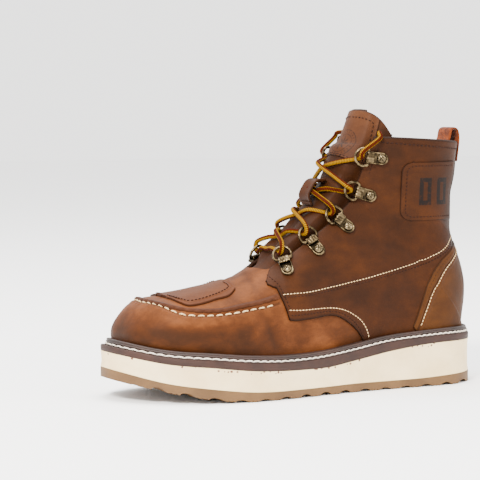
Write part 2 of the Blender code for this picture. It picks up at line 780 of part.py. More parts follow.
def pull_loop():
    """A strip folded over the back of the collar."""
    t = ROW["collar"]
    back_x, back_z = section(t)[:2]
    low = [section(s)[:2] for s in (24.0, 24.5)]
    reach = LAID + 0.0003 + CLEARANCE
    half = 0.0095
    thick = 0.0016
    path = []
    for x, z in low:
        path.append((x - reach - thick / 2, z))
    path.append((back_x - reach - thick / 2, back_z))
    path += [(back_x - 0.0030, back_z + 0.0075), (back_x - 0.0010, back_z + 0.0125),
             (back_x + 0.0035, back_z + 0.0150), (back_x + 0.0078, back_z + 0.0125),
             (back_x + 0.0088, back_z + 0.0060),
             (back_x + WALL + 0.0046, back_z - 0.0010),
             (low[1][0] + WALL + 0.0046, low[1][1] - 0.0010)]
    bm = bmesh.new()
    rings = []
    for k, (x, z) in enumerate(path):
        a = path[max(k - 1, 0)]
        b = path[min(k + 1, len(path) - 1)]
        length = math.hypot(b[0] - a[0], b[1] - a[1])
        out = (-(b[1] - a[1]) / length, (b[0] - a[0]) / length)
        ring = []
        for side, depth in ((-1, 1), (1, 1), (1, -1), (-1, -1)):
            ring.append(bm.verts.new((x + out[0] * depth * thick / 2, side * half,
                                      z + out[1] * depth * thick / 2)))
        rings.append(ring)
    for a, b in zip(rings, rings[1:]):
        for n in range(4):
            m = (n + 1) % 4
            bm.faces.new((a[n], a[m], b[m], b[n]))
    bm.faces.new(rings[0][::-1])
    bm.faces.new(rings[-1])
    return finish("pull_loop", bm, SUEDE)


pull_loop()

# Tongue
TONGUE_THICK = 0.0030
UNDER = -(WALL + 0.0007)
TONGUE_ROWS = [t for t in UPPER_ROWS if 8 < t < 25][::2]
TONGUE_ROWS = [TONGUE[0][0]] + TONGUE_ROWS + [25.0, 25.35, 25.65, 26.0]
ACROSS = (1.0, 0.84, 0.68, 0.42, 0.20, 0.0)


def tongue_top(across):
    return 25.98 - 0.10 * across ** 2 - 0.65 * across ** 3.2


def tongue_away(t, u):
    """How far the tongue's face stands off the last: under the wall, swelling in the throat."""
    free = throat(min(t, 25))
    rise = min(max((u - free - 0.012) / 0.07, 0), 1)
    rise = rise * rise * (3 - 2 * rise)
    swell = 0.0030 * min(max((t - 8.8) / 0.6, 0), 1)
    lean = 0.0064 * min(max((t - 22.0) / 1.5, 0), 1)
    spring = min(max((u - 0.72) / 0.20, 0), 1)
    bend = 0.0085 * max((t - 23.4) / 2.5, 0) ** 1.3
    return UNDER - lean * (1 - spring) - bend * spring + swell * rise


def tongue_sheets(lowest, widest, inside, lift):
    """The face of the tongue from a section up, out to a share of its width."""
    sheets = []
    for side in (1, -1):
        points = []
        offsets = []
        for row in [t for t in TONGUE_ROWS if t >= lowest]:
            line = []
            distances = []
            for across in [share for share in ACROSS if share <= widest]:
                t = min(row, tongue_top(across) - inside)
                u = 1 - across * edge(TONGUE, t)
                line.append(on_wall(t, u, side))
                distances.append(tongue_away(t, u) + lift)
            points.append(line)
            offsets.append(distances)
        sheets.append((points, offsets, side))
    return sheets


skin("tongue", tongue_sheets(0, 1.0, 0.0, 0.0), TONGUE_THICK, LEATHER)
skin("tongue_cap", tongue_sheets(22.0, 0.68, 0.03, PANEL_GAP + 0.0010), 0.0010, TAN_LEATHER)


# Lacing hardware
def frame_at(row, side):
    name, t, u, rivet_t, rivet_u = row
    place = Vector(point(t, u, side))
    out = Vector(normal(t, u, side))
    ahead = place - Vector(point(rivet_t, rivet_u, side))
    ahead = (ahead - out * ahead.dot(out)).normalized()
    across = out.cross(ahead)
    return place + out * (LAID + CLEARANCE), ahead, across, out


FOLD = RING_WIRE / 2 + 0.0004
BAR_HEIGHT = SHEET + FOLD
RING_DEPTH = 0.0098
RING_TILT = math.radians(14)


def place_at(base, ahead, across, out, spot):
    return base + ahead * spot[0] + across * spot[1] + out * spot[2]


def loop_plate(name, base, ahead, across, out):
    """A sheet folded round the straight bar of a ring, with a rivet's head."""
    turn = []
    for angle in (-90, -30, 30, 90):
        a = math.radians(angle)
        turn.append((FOLD * math.cos(a), FOLD * math.sin(a)))
    inner = [(-PLATE_LENGTH * 0.45, -FOLD)] + turn + [(-PLATE_LENGTH * 0.98, FOLD)]
    outer = [(-PLATE_LENGTH * 0.45, -FOLD - SHEET)]
    outer += [(x / FOLD * (FOLD + SHEET), z / FOLD * (FOLD + SHEET)) for x, z in turn]
    outer += [(-PLATE_LENGTH * 0.98, FOLD + SHEET)]
    bm = bmesh.new()
    rows = []
    for side in (-1, 1):
        rows.append([])
        for line in (inner, outer):
            for x, z in line:
                spot = (x, side * PLATE_WIDTH / 2, z + BAR_HEIGHT)
                rows[-1].append(bm.verts.new(place_at(base, ahead, across, out, spot)))
    n = len(inner)
    for k in range(n - 1):
        a, b = rows
        bm.faces.new((a[k], a[k + 1], b[k + 1], b[k]))
        bm.faces.new((a[n + k + 1], a[n + k], b[n + k], b[n + k + 1]))
        for row in rows:
            bm.faces.new((row[k], row[k + 1], row[n + k + 1], row[n + k]))
    for k in (0, n - 1):
        bm.faces.new((rows[0][k], rows[0][n + k], rows[1][n + k], rows[1][k]))
    return finish(name, bm, METAL)


def rivet(name, base, ahead, across, out):
    bm = bmesh.new()
    centre = -PLATE_LENGTH * 0.60
    base_height = BAR_HEIGHT + FOLD + SHEET + CLEARANCE
    rings = []
    for radius, high in ((0.0033, 0.0), (0.0033, 0.0006), (0.0018, 0.0012)):
        ring = []
        for n in range(6):
            a = 2 * math.pi * n / 6
            spot = (centre + radius * math.cos(a), radius * math.sin(a), base_height + high)
            ring.append(bm.verts.new(place_at(base, ahead, across, out, spot)))
        rings.append(ring)
    for a, b in zip(rings, rings[1:]):
        for n in range(6):
            m = (n + 1) % 6
            bm.faces.new((a[n], a[m], b[m], b[n]))
    bm.faces.new(rings[0][::-1])
    bm.faces.new(rings[-1])
    return finish(name, bm, METAL)


def ring_path(base, ahead, across, out):
    """A ring with one straight bar held in the fold."""
    half = RING_WIDTH / 2
    flat = [(0, -half * 0.73), (0, half * 0.73), (0.0019, half * 0.97)]
    for angle in (62, 31, 0, -31, -62):
        a = math.radians(angle)
        flat.append((RING_DEPTH - half + half * math.cos(a), half * math.sin(a)))
    flat.append((0.0019, -half * 0.97))
    return [place_at(base, ahead, across, out,
                     (x * math.cos(RING_TILT), y, BAR_HEIGHT + x * math.sin(RING_TILT)))
            for x, y in flat]


HOOKS = {}
for side, flank in ((1, "lateral"), (-1, "medial")):
    for row in LOOPS:
        base, ahead, across, out = frame_at(row, side)
        tag = row[0] + "_" + flank
        loop_plate("plate_" + tag, base, ahead, across, out)
        rivet("rivet_" + tag, base, ahead, across, out)
        tube("ring_" + tag, ring_path(base, ahead, across, out), RING_WIRE / 2, METAL, closed=True,
             faces=4)
        HOOKS[row[0], side] = (base, ahead, across, out)

# Lace
LACE_RADIUS = LACE_DIAMETER / 2
TURN = (RING_WIRE / 2 + 1.5 * CLEARANCE + LACE_RADIUS) / math.cos(math.radians(22.5))
NAMES = [row[0] for row in LOOPS]
STEP_OVER = LACE_DIAMETER + 2 * CLEARANCE
FACE = []
for t in np.linspace(8.7, 24.8, 60):
    for u in np.linspace(0.86, 1.0, 8):
        for side in (1, -1):
            out = Vector(normal(float(t), min(float(u), 0.985), side))
            if u > 0.99:
                out.y = 0
                out.normalize()
            spot = Vector(point(float(t), float(u), side))
            FACE.append((spot + out * tongue_away(t, u), out))


def lifted(place, height):
    """Move a place out from the tongue until it stands a height over it."""
    spot, out = min(FACE, key=lambda pair: (pair[0] - place).length)
    short = height - (place - spot).dot(out)
    return place + out * short if short > 0 else place


def hook(name, side):
    """Points of the lace round the far bar of a ring, from under it to over it."""
    base, ahead, across, out = HOOKS[name, side]
    rise = across if across.z > 0 else -across
    bar = place_at(base, ahead, across, out, (RING_DEPTH * math.cos(RING_TILT), 0,
                                              BAR_HEIGHT + RING_DEPTH * math.sin(RING_TILT)))
    low = bar - out * TURN + ahead * 0.0015 - rise * 0.0024
    inner = bar - (out + ahead) * (TURN * 0.7071) - rise * 0.0013
    hole = bar - ahead * TURN
    over = bar + (out - ahead) * (TURN * 0.7071) + rise * 0.0013
    high = bar + out * TURN + ahead * 0.0015 + rise * 0.0024
    return [low, inner, hole, over, high], rise, out, bar


def crossing(low_name, high_name, level):
    """Where two runs of the lace cross over the middle of the tongue."""
    bars = [hook(name, side)[3] for name in (low_name, high_name) for side in (1, -1)]
    middle = sum(bars, Vector()) / 4
    middle.y = 0
    spot, out = min(FACE, key=lambda pair: (pair[0] - middle).length)
    spot = Vector((spot.x, 0, spot.z))
    return spot + out * (CLEARANCE * 2 + LACE_RADIUS + level * STEP_OVER), out


def leg(start, end):
    """The middle of a run of the lace, kept off the tongue."""
    return lifted(start.lerp(end, 0.5), LACE_RADIUS + 3 * CLEARANCE)


def strand(first):
    """The lace from the bottom ring on one side, crossing up to a top ring."""
    path = []
    side = first
    order = NAMES[::-1]
    for k, name in enumerate(order):
        points = hook(name, side)[0]
        if name == NAMES[0]:
            path += points[:3]
            break
        level = (k + (first > 0)) % 2
        middle = crossing(name, order[k + 1], level)[0]
        after = hook(order[k + 1], -side)[0][0]
        path += points + [leg(points[-1], middle), middle, leg(middle, after)]
        side = -side
    return path, side


def lace():
    ways = {}
    ends = {}
    for first in (1, -1):
        path, side = strand(first)
        ways[first] = path
        ends[side] = path[-1]
    a, b = ways[-1][0], ways[1][0]
    bar = [lifted(a.lerp(b, share), LACE_RADIUS + 2 * CLEARANCE) for share in (0.25, 0.5, 0.75)]
    tube("lace", ways[-1][::-1] + bar + ways[1], LACE_RADIUS, CORD)
    return ends


def keeper():
    """A strap on the tongue that the lace runs under."""
    centre, out = crossing("middle", "upper", 0)
    centre = centre - out * (CLEARANCE * 2 + LACE_RADIUS)
    along = Vector((0, 1, 0)).cross(out)
    along = along if along.z > 0 else -along
    half = 0.0058
    thick = 0.0014
    top = 2 * STEP_OVER + 3 * CLEARANCE + thick / 2
    foot = PANEL_GAP + thick / 2
    bm = bmesh.new()
    rings = []
    shape = ((-0.0125, foot), (-0.0100, foot + 0.0016), (-0.0078, top * 0.75), (-0.0050, top),
             (0.0050, top), (0.0078, top * 0.75), (0.0100, foot + 0.0016), (0.0125, foot))
    middle = []
    for run, high in shape:
        place = centre + along * run
        if abs(run) > 0.009:
            middle.append(lifted(place - out * 0.004, high))
        else:
            middle.append(place + out * high)
    for k, place in enumerate(middle):
        way = (middle[min(k + 1, len(middle) - 1)] - middle[max(k - 1, 0)]).normalized()
        away = way.cross(Vector((0, 1, 0))).normalized()
        ring = []
        for side, depth in ((-1, 1), (1, 1), (1, -1), (-1, -1)):
            spot = place + Vector((0, side * half, 0)) + away * (depth * thick / 2)
            ring.append(bm.verts.new(spot))
        rings.append(ring)
    for a, b in zip(rings, rings[1:]):
        for n in range(4):
            m = (n + 1) % 4
            bm.faces.new((a[n], a[m], b[m], b[n]))
    bm.faces.new(rings[0][::-1])
    bm.faces.new(rings[-1])
    return finish("lace_keeper", bm, LEATHER)


keeper()


def cord(name, path, mat):
    """A free end of the lace."""
    curve = bpy.data.curves.new(name, "CURVE")
    curve.dimensions = "3D"
    curve.bevel_depth = LACE_RADIUS
    curve.bevel_resolution = 2
    curve.use_fill_caps = True
    spline = curve.splines.new("POLY")
    spline.points.add(len(path) - 1)
    for spot, place in zip(spline.points, path):
        spot.co = (*place, 1.0)
    curve.materials.append(mat)
    made = bpy.data.objects.new(name, curve)
    bpy.context.collection.objects.link(made)
    return made


ENDS_AT = lace()
for side, flank in ((1, "lateral"), (-1, "medial")):
    points, rise, out, bar = hook("top", side)
    way = (points[2] - points[1]).normalized()
    start = ENDS_AT[side] + way * 2 * CLEARANCE
    edge_place = Vector(point(24.97, 0.735, side))
    edge_out = Vector(normal(24.9, 0.735, side))
    up = Vector((0, 0, 1))
    path = [
        start,
        start + way * 0.0016,
        start + way * 0.0040 + rise * 0.0030,
        edge_place + edge_out * (LAID + 0.0048) + up * 0.0005,
        edge_place + edge_out * (LAID + 0.0020) + up * 0.0044,
        edge_place - edge_out * 0.0022 + up * 0.0050,
        edge_place - edge_out * 0.0052 + up * 0.0026,
        edge_place - edge_out * 0.0060 - up * 0.0040,
        edge_place - edge_out * 0.0060 - up * 0.0110,
    ]
    cord("lace_end_" + flank, path, CORD)

# Stand the part on the floor, centred
everything = list(bpy.context.collection.objects)
solids = [thing for thing in everything if thing.type == "MESH"]
across = [vert.co.y for thing in solids for vert in thing.data.vertices]
shift = Vector((-SOLE_LENGTH / 2, -(min(across) + max(across)) / 2, 0))
for thing in everything:
    if thing.type == "MESH":
        for vert in thing.data.vertices:
            vert.co += shift
    else:
        for spot in thing.data.splines[0].points:
            spot.co = (*(spot.co.to_3d() + shift), 1.0)
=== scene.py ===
import math

import bmesh
import bpy
import numpy as np
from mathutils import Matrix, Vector
from mathutils.kdtree import KDTree


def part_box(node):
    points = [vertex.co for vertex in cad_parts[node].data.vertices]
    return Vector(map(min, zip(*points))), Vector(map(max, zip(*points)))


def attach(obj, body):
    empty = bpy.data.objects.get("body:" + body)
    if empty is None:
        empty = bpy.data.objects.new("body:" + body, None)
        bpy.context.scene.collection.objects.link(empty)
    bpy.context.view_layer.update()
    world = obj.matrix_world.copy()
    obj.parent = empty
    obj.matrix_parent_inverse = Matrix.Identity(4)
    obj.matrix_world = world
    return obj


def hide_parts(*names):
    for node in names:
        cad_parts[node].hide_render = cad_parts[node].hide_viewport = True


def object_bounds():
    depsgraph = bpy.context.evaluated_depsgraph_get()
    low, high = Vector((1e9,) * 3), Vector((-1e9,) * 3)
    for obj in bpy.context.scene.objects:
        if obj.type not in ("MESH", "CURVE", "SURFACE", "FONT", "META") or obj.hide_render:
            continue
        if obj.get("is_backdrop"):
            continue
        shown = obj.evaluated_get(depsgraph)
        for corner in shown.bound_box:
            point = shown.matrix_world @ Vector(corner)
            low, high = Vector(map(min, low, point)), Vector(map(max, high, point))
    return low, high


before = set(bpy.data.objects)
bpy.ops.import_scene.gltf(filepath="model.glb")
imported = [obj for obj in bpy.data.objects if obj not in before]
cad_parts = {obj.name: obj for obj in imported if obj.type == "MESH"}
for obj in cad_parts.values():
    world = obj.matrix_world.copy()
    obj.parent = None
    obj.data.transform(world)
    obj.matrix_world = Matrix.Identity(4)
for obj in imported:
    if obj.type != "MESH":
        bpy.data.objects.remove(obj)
CAD_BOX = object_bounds()
MM = 0.001

# The last, in the boot's own sizes
SOLE_LENGTH = 0.305
BALL_WIDTH = 0.112
COLLAR_HEIGHT = 0.190
WALL = 0.0024
OVERLAY = 0.0013
CLEARANCE = 0.0003
PANEL_GAP = 0.0005
LAID = PANEL_GAP + OVERLAY
WELT_LIP_TOE = 0.0095
WELT_LIP_SIDE = 0.0078
WELT_LIP_HEEL = 0.0048
TOE_SPRING = 0.0160
TREAD_PITCH = 0.0186
TREAD_GAP = 0.0026
LACE_DIAMETER = 0.0044
RING_WIRE = 0.0021
RING_WIDTH = 0.0135
PLATE_WIDTH = 0.0086
PLATE_LENGTH = 0.0150
SHEET = 0.0008
STITCH_PITCH = 0.0070
# How far the leather is drawn in: back of the heel, foot of the heel, and the toe's shoulder
TRIM_BACK = 0.0024
TRIM_FOOT = 0.0017
TRIM_TOE = 0.0038
SINK_TOE = 0.0008
FLANKS = ((1, "lateral"), (-1, "medial"))

# Half-widths of the sole as shares of the ball width, a row for each share of its length
PLAN = (
    # along, lateral, medial, centre
    (0.00, 0.333, 0.333, 0.000),
    (0.10, 0.351, 0.342, 0.000),
    (0.20, 0.360, 0.338, 0.000),
    (0.30, 0.368, 0.325, 0.000),
    (0.40, 0.395, 0.320, 0.000),
    (0.50, 0.439, 0.342, 0.000),
    (0.60, 0.487, 0.390, -0.002),
    (0.70, 0.518, 0.443, -0.010),
    (0.80, 0.513, 0.478, -0.022),
    (0.90, 0.474, 0.465, -0.040),
    (1.00, 0.404, 0.421, -0.061),
)

# Heights of the sole's layers as shares of the collar height
LAYERS = (
    # along, top of outsole, top of wedge, top of strip
    (0.00, 0.043, 0.176, 0.203),
    (0.10, 0.041, 0.178, 0.208),
    (0.20, 0.034, 0.170, 0.202),
    (0.30, 0.033, 0.151, 0.190),
    (0.40, 0.034, 0.126, 0.166),
    (0.50, 0.032, 0.108, 0.148),
    (0.60, 0.032, 0.110, 0.144),
    (0.70, 0.037, 0.119, 0.152),
    (0.80, 0.055, 0.137, 0.167),
    (0.90, 0.078, 0.152, 0.180),
    (1.00, 0.122, 0.186, 0.211),
)

# The last: a row for each flat section, tilting from upright at the toe to level at the collar.
# Low and high ends are shares of sole length and collar height, half-widths shares of ball width.
LAST = (
    # name, low x, low z, high x, high z, lateral, medial, widest, low power, high power
    ("toe", 0.968, 0.000, 0.968, 0.209, 0.000, 0.000, 0.40, 1.2, 2.0),
    ("toe_wall", 0.963, 0.000, 0.962, 0.290, 0.130, 0.135, 0.30, 1.2, 2.1),
    ("toe_rise", 0.948, 0.000, 0.947, 0.345, 0.232, 0.245, 0.30, 1.2, 2.3),
    ("toe_box", 0.921, 0.000, 0.920, 0.374, 0.320, 0.325, 0.30, 1.2, 2.6),
    ("plug_front", 0.880, 0.000, 0.879, 0.388, 0.388, 0.378, 0.30, 1.2, 2.8),
    ("plug", 0.830, 0.000, 0.826, 0.392, 0.432, 0.405, 0.30, 1.2, 2.7),
    ("plug_back", 0.775, 0.000, 0.768, 0.408, 0.456, 0.405, 0.30, 1.2, 2.4),
    ("ball", 0.715, 0.000, 0.705, 0.432, 0.462, 0.392, 0.28, 1.2, 2.2),
    ("vamp", 0.650, 0.000, 0.636, 0.478, 0.446, 0.366, 0.26, 1.2, 2.0),
    ("throat", 0.585, 0.000, 0.576, 0.545, 0.422, 0.340, 0.24, 1.2, 1.9),
    ("instep_low", 0.510, 0.000, 0.532, 0.603, 0.398, 0.325, 0.24, 1.2, 1.9),
    ("instep", 0.430, 0.000, 0.500, 0.652, 0.374, 0.320, 0.26, 1.2, 1.9),
    ("instep_high", 0.345, 0.000, 0.474, 0.700, 0.350, 0.318, 0.30, 1.3, 1.9),
    ("waist", 0.255, 0.000, 0.452, 0.742, 0.334, 0.318, 0.33, 1.4, 1.9),
    ("heel_front", 0.165, 0.000, 0.434, 0.780, 0.324, 0.318, 0.36, 1.5, 1.9),
    ("heel", 0.085, 0.000, 0.423, 0.812, 0.318, 0.316, 0.36, 1.7, 1.9),
    ("heel_seat", 0.032, 0.000, 0.414, 0.840, 0.314, 0.314, 0.36, 1.9, 1.9),
    ("heel_corner", 0.0157, 0.000, 0.410, 0.852, 0.313, 0.313, 0.36, 2.0, 1.9),
    ("heel_low", 0.013, 0.275, 0.408, 0.863, 0.312, 0.312, 0.37, 2.0, 1.9),
    ("heel_mid", 0.010, 0.350, 0.403, 0.884, 0.310, 0.310, 0.38, 2.0, 1.9),
    ("counter", 0.017, 0.440, 0.398, 0.904, 0.308, 0.308, 0.40, 2.0, 1.9),
    ("counter_top", 0.038, 0.540, 0.393, 0.923, 0.306, 0.306, 0.42, 2.0, 1.95),
    ("ankle", 0.054, 0.640, 0.388, 0.942, 0.310, 0.310, 0.44, 2.0, 2.0),
    ("shaft_low", 0.054, 0.740, 0.383, 0.961, 0.318, 0.318, 0.46, 2.0, 2.0),
    ("shaft", 0.043, 0.850, 0.377, 0.983, 0.330, 0.330, 0.48, 2.0, 2.0),
    ("collar", 0.032, 0.982, 0.371, 1.010, 0.342, 0.342, 0.50, 2.0, 2.0),
    ("above", 0.022, 1.100, 0.350, 1.135, 0.350, 0.350, 0.50, 2.0, 2.0),
)
ROW = {row[0]: number for number, row in enumerate(LAST)}

# Edge of the throat in the wall, and of the panels laid on it, along the sections
THROAT = (
    # section, share up the section
    (8.24, 1.000),
    (8.34, 0.900),
    (8.55, 0.800),
    (9.30, 0.768),
    (10.3, 0.775),
    (12.3, 0.785),
    (14.7, 0.820),
    (18.5, 0.842),
    (22.4, 0.785),
    (25.0, 0.760),
)
WING = (
    # section, lower edge, upper edge
    (8.30, 0.600, 0.670),
    (8.45, 0.545, 0.715),
    (8.62, 0.490, 0.760),
    (8.94, 0.304, 0.772),
    (9.30, 0.290, 0.766),
    (10.7, 0.275, 0.772),
    (11.3, 0.215, 0.776),
    (11.7, 0.120, 0.780),
    (11.85, 0.040, 0.781),
)
COUNTER = (
    # section, front edge
    (13.5, 0.045),
    (13.84, 0.106),
    (14.16, 0.160),
    (14.53, 0.215),
    (15.0, 0.273),
    (15.59, 0.329),
    (15.84, 0.346),
    (16.09, 0.362),
    (16.59, 0.383),
    (17.09, 0.400),
    (17.34, 0.396),
    (17.62, 0.388),
    (17.81, 0.383),
    (18.0, 0.379),
    (18.22, 0.371),
    (18.62, 0.358),
    (18.94, 0.345),
    (19.56, 0.306),
    (20.06, 0.265),
    (20.62, 0.200),
    (21.2, 0.092),
)
PATCH_VAMP = (
    # section, edge
    (4.50, 0.860),
    (4.55, 0.740),
    (4.69, 0.630),
    (5.06, 0.571),
    (6.10, 0.620),
    (7.06, 0.708),
    (7.20, 0.780),
    (7.26, 0.920),
)
MOC_RIDGE = (
    # section, share up the section
    (3.36, 1.000),
    (3.42, 0.900),
    (3.55, 0.790),
    (3.75, 0.680),
    (4.02, 0.595),
    (4.44, 0.530),
    (5.19, 0.475),
    (6.00, 0.460),
    (7.06, 0.487),
    (8.18, 0.505),
)
TONGUE = (
    # section, half-width as a share down from the ridge
    (7.80, 0.200),
    (8.30, 0.290),
    (10.0, 0.310),
    (14.0, 0.270),
    (18.0, 0.250),
    (22.0, 0.300),
    (24.0, 0.330),
    (25.9, 0.330),
)
# Lacing hardware, a row for each pair from the top down
LOOPS = (
    # name, fold section, fold share, rivet section, rivet share
    ("top", 23.16, 0.772, 23.41, 0.710),
    ("upper", 18.25, 0.832, 18.88, 0.777),
    ("middle", 13.41, 0.792, 13.59, 0.729),
    ("lower", 11.12, 0.776, 11.25, 0.684),
    ("bottom", 9.31, 0.760, 9.28, 0.667),
)

def smooth(xs, ys, x):
    """A soft curve through a column of a table."""
    xs = np.asarray(xs, float)
    ys = np.asarray(ys, float)
    step = np.diff(xs)
    rise = np.diff(ys) / step
    slope = np.empty_like(ys)
    slope[0], slope[-1] = rise[0], rise[-1]
    both = rise[:-1] * rise[1:] > 0
    weight = step[:-1] + step[1:]
    slope[1:-1] = (rise[:-1] * step[1:] + rise[1:] * step[:-1]) / weight
    limit = 3 * np.minimum(abs(rise[:-1]), abs(rise[1:]))
    slope[1:-1] = np.where(both, np.sign(slope[1:-1]) * np.minimum(abs(slope[1:-1]), limit), 0)
    x = np.clip(x, xs[0], xs[-1])
    k = np.clip(np.searchsorted(xs, x, side="right") - 1, 0, len(step) - 1)
    h = step[k]
    u = (x - xs[k]) / h
    near = (1 + 2 * u) * (1 - u) ** 2 * ys[k] + u * (1 - u) ** 2 * h * slope[k]
    far = u * u * (3 - 2 * u) * ys[k + 1] + u * u * (u - 1) * h * slope[k + 1]
    return near + far


def ramp(v):
    """A soft step from 0 to 1."""
    v = np.clip(v, 0, 1)
    return v * v * (3 - 2 * v)


def unit(v):
    """Vectors in the last axis, one long."""
    return v / (np.linalg.norm(v, axis=-1, keepdims=True) + 1e-15)


def run_of(points):
    """Distance along a line at each of its points."""
    return np.concatenate([[0], np.cumsum(np.linalg.norm(np.diff(points, axis=0), axis=1))])


def at_run(s, run, table):
    """Columns of a table at distance s along its line."""
    return np.stack([np.interp(s, run, values) for values in table.T], -1)


def column(table, number):
    return [row[number] for row in table]


def layer(x, number):
    """Height of the top of a layer of the sole at x."""
    return COLLAR_HEIGHT * smooth(column(LAYERS, 0), column(LAYERS, number), x / SOLE_LENGTH)


def ground(x):
    """Underside of the sole: flat, then rising at the toe."""
    return TOE_SPRING * np.clip((x / SOLE_LENGTH - 0.70) / 0.30, 0, 1) ** 1.6


def rounding(share):
    """How the plan closes at its two ends."""
    heel = 1 - np.clip(1 - share / 0.135, 0, 1) ** 2.05
    toe = 1 - np.clip((share - 0.69) / 0.31, 0, 1) ** 2.35
    return np.maximum(heel, 0) ** (1 / 2.05) * np.maximum(toe, 0) ** (1 / 2.35)


def plan(x, side, inset, extra=0.0):
    """Signed distance of the sole's outline from the middle, inset as a share of the welt's lip."""
    back = WELT_LIP_HEEL * inset + extra
    front = SOLE_LENGTH - WELT_LIP_TOE * inset - extra
    share = np.clip((x - back) / (front - back), 0, 1)
    along = x / SOLE_LENGTH
    width = smooth(column(PLAN, 0), column(PLAN, 1 if side > 0 else 2), along) * BALL_WIDTH
    middle = smooth(column(PLAN, 0), column(PLAN, 3), along) * BALL_WIDTH
    return middle + side * (width - WELT_LIP_SIDE * inset - extra) * rounding(share)


def section(t):
    """The sizes of the last's section at t, in metres."""
    rows = range(len(LAST))
    low_x, low_z, high_x, high_z, lateral, medial, widest, low, high = (
        float(smooth(rows, column(LAST, number), t)) for number in range(1, 10))
    low_x *= SOLE_LENGTH
    bed = float(layer(low_x, 3)) + 2 * CLEARANCE
    corner = ROW["heel_corner"]
    if t > corner:
        climb = [bed / COLLAR_HEIGHT] + column(LAST, 2)[corner + 1:]
        low_z = float(smooth(rows[corner:], climb, t)) * COLLAR_HEIGHT
    else:
        low_z = bed
    high_z = max(high_z * COLLAR_HEIGHT, low_z + 0.0002)
    return (low_x, low_z, high_x * SOLE_LENGTH, high_z, lateral * BALL_WIDTH,
            medial * BALL_WIDTH, widest, low, high)


def profile(t, side, count):
    """Half of a section as heights h from 0 to 1 and signed distances y."""
    low_x, _, _, _, lateral, medial, widest, low, high = section(t)
    middle = float(smooth(column(PLAN, 0), column(PLAN, 3), low_x / SOLE_LENGTH)) * BALL_WIDTH
    foot = 0.0
    if t < ROW["heel_corner"]:
        foot = (float(plan(low_x, side, 1.0)) - middle) * side
    most = max(lateral if side > 0 else medial, foot + 0.0001)
    a = np.linspace(0, math.pi / 2, count)
    rise = widest * (1 - np.cos(a)) if low > 1.85 else widest * (a / (math.pi / 2))
    grow = (1 - np.clip(1 - rise / widest, 0, 1) ** low) ** (1 / low)
    fall = widest + (1 - widest) * np.sin(a[1:])
    shut = (1 - np.clip((fall - widest) / (1 - widest), 0, 1) ** high) ** (1 / high)
    h = np.concatenate([rise, fall])
    y = np.concatenate([foot + (most - foot) * grow, most * shut])
    return h, middle + side * y


def edge(table, t, number=1):
    """A column of an edge table, with t in its first column."""
    return smooth(column(table, 0), column(table, number), t)


# The last as a fine grid: rows along t, columns along u, for the outer and the inner side
DT = 0.02
TS = np.arange(0, len(LAST) - 1 + DT / 2, DT)
US = np.linspace(0, 1, 201)
low_y = min(float(plan(x, -1, 0)) for x in np.linspace(0.5, 0.95, 400) * SOLE_LENGTH)
SHIFT = np.array([-SOLE_LENGTH / 2, float(np.array(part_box("outsole"))[0][1]) - low_y, 0.0])


def settled(p):
    """Leather drawn in over the toe's shoulder and down the heel."""
    x, z = p[..., 0].copy(), p[..., 2].copy()
    toe = ramp((x - 0.106) / 0.030) * ramp((z - 0.047) / 0.018)
    heel = ramp((-0.092 - x) / 0.045)
    p[..., 0] += heel * (TRIM_BACK + TRIM_FOOT * ramp((0.062 - z) / 0.022)) - TRIM_TOE * toe
    p[..., 2] -= SINK_TOE * toe
    return p


def last_grid(side):
    """Places, ways out and lengths of the sections on one side of the last."""
    places = []
    lengths = []
    for t in TS:
        low_x, low_z, high_x, high_z = section(float(t))[:4]
        h, y = profile(float(t), side, 64)
        x = low_x + h * (high_x - low_x)
        z = low_z + h * (high_z - low_z)
        points = np.stack([x, y, z], 1)
        run = run_of(points)
        places.append(at_run(US * run[-1], run, points))
        lengths.append(run[-1])
    places = settled(np.array(places) + SHIFT)
    out = np.cross(np.gradient(places, axis=0), np.gradient(places, axis=1)) * side
    out[:, -1, 1] = 0
    out[0, :, 1] = 0
    out[int(round((ROW["heel_corner"] + 0.4) / DT)):, 0, 1] = 0
    return places, unit(out), np.array(lengths)


SIDES = {side: last_grid(side) for side in (1, -1)}
PLACES = np.stack([SIDES[1][0], SIDES[-1][0]])
NORMALS = np.stack([SIDES[1][1], SIDES[-1][1]])


def look(field, t, u, side):
    """A field of the last's grid at sections t and shares u."""
    t, u, side = np.broadcast_arrays(np.asarray(t, float), np.asarray(u, float), np.asarray(side))
    k = (side < 0).astype(int)
    a = np.clip(t / DT, 0, len(TS) - 1.00001)
    b = np.clip(u, 0, 1) * (len(US) - 1)
    i = a.astype(int)
    j = np.minimum(b.astype(int), len(US) - 2)
    f = (a - i)[..., None]
    g = (b - j)[..., None]
    return ((field[k, i, j] * (1 - g) + field[k, i, j + 1] * g) * (1 - f)
            + (field[k, i + 1, j] * (1 - g) + field[k, i + 1, j + 1] * g) * f)


def on_last(t, u, side, away=0.0):
    """Places on the last, or at a height over it."""
    away = np.asarray(away, float)
    place = look(PLACES, t, u, side)
    out = facing(t, u, side)
    return place + out * (away[..., None] if away.ndim else away)


def facing(t, u, side):
    """Ways out of the last, one long."""
    return unit(look(NORMALS, t, u, side))


def girth(t):
    """Length of a section from the sole or back to the ridge."""
    return np.interp(t, TS, SIDES[1][2])


def throat(t):
    """Share up the section at which the upper's wall ends."""
    t = np.asarray(t, float)
    return np.where(t > THROAT[0][0], edge(THROAT, t), 1.0)


def above_bed(t, side, height):
    """Share up a section at which it is a height over the sole's top."""
    us = np.linspace(0, 0.4, 121)
    p = look(PLACES, np.full_like(us, t), us, np.full_like(us, side))
    high = p[:, 2] - layer(p[:, 0] - SHIFT[0], 3)
    good = np.nonzero(high >= height)[0]
    return float(us[good[0]]) if len(good) else 0.0


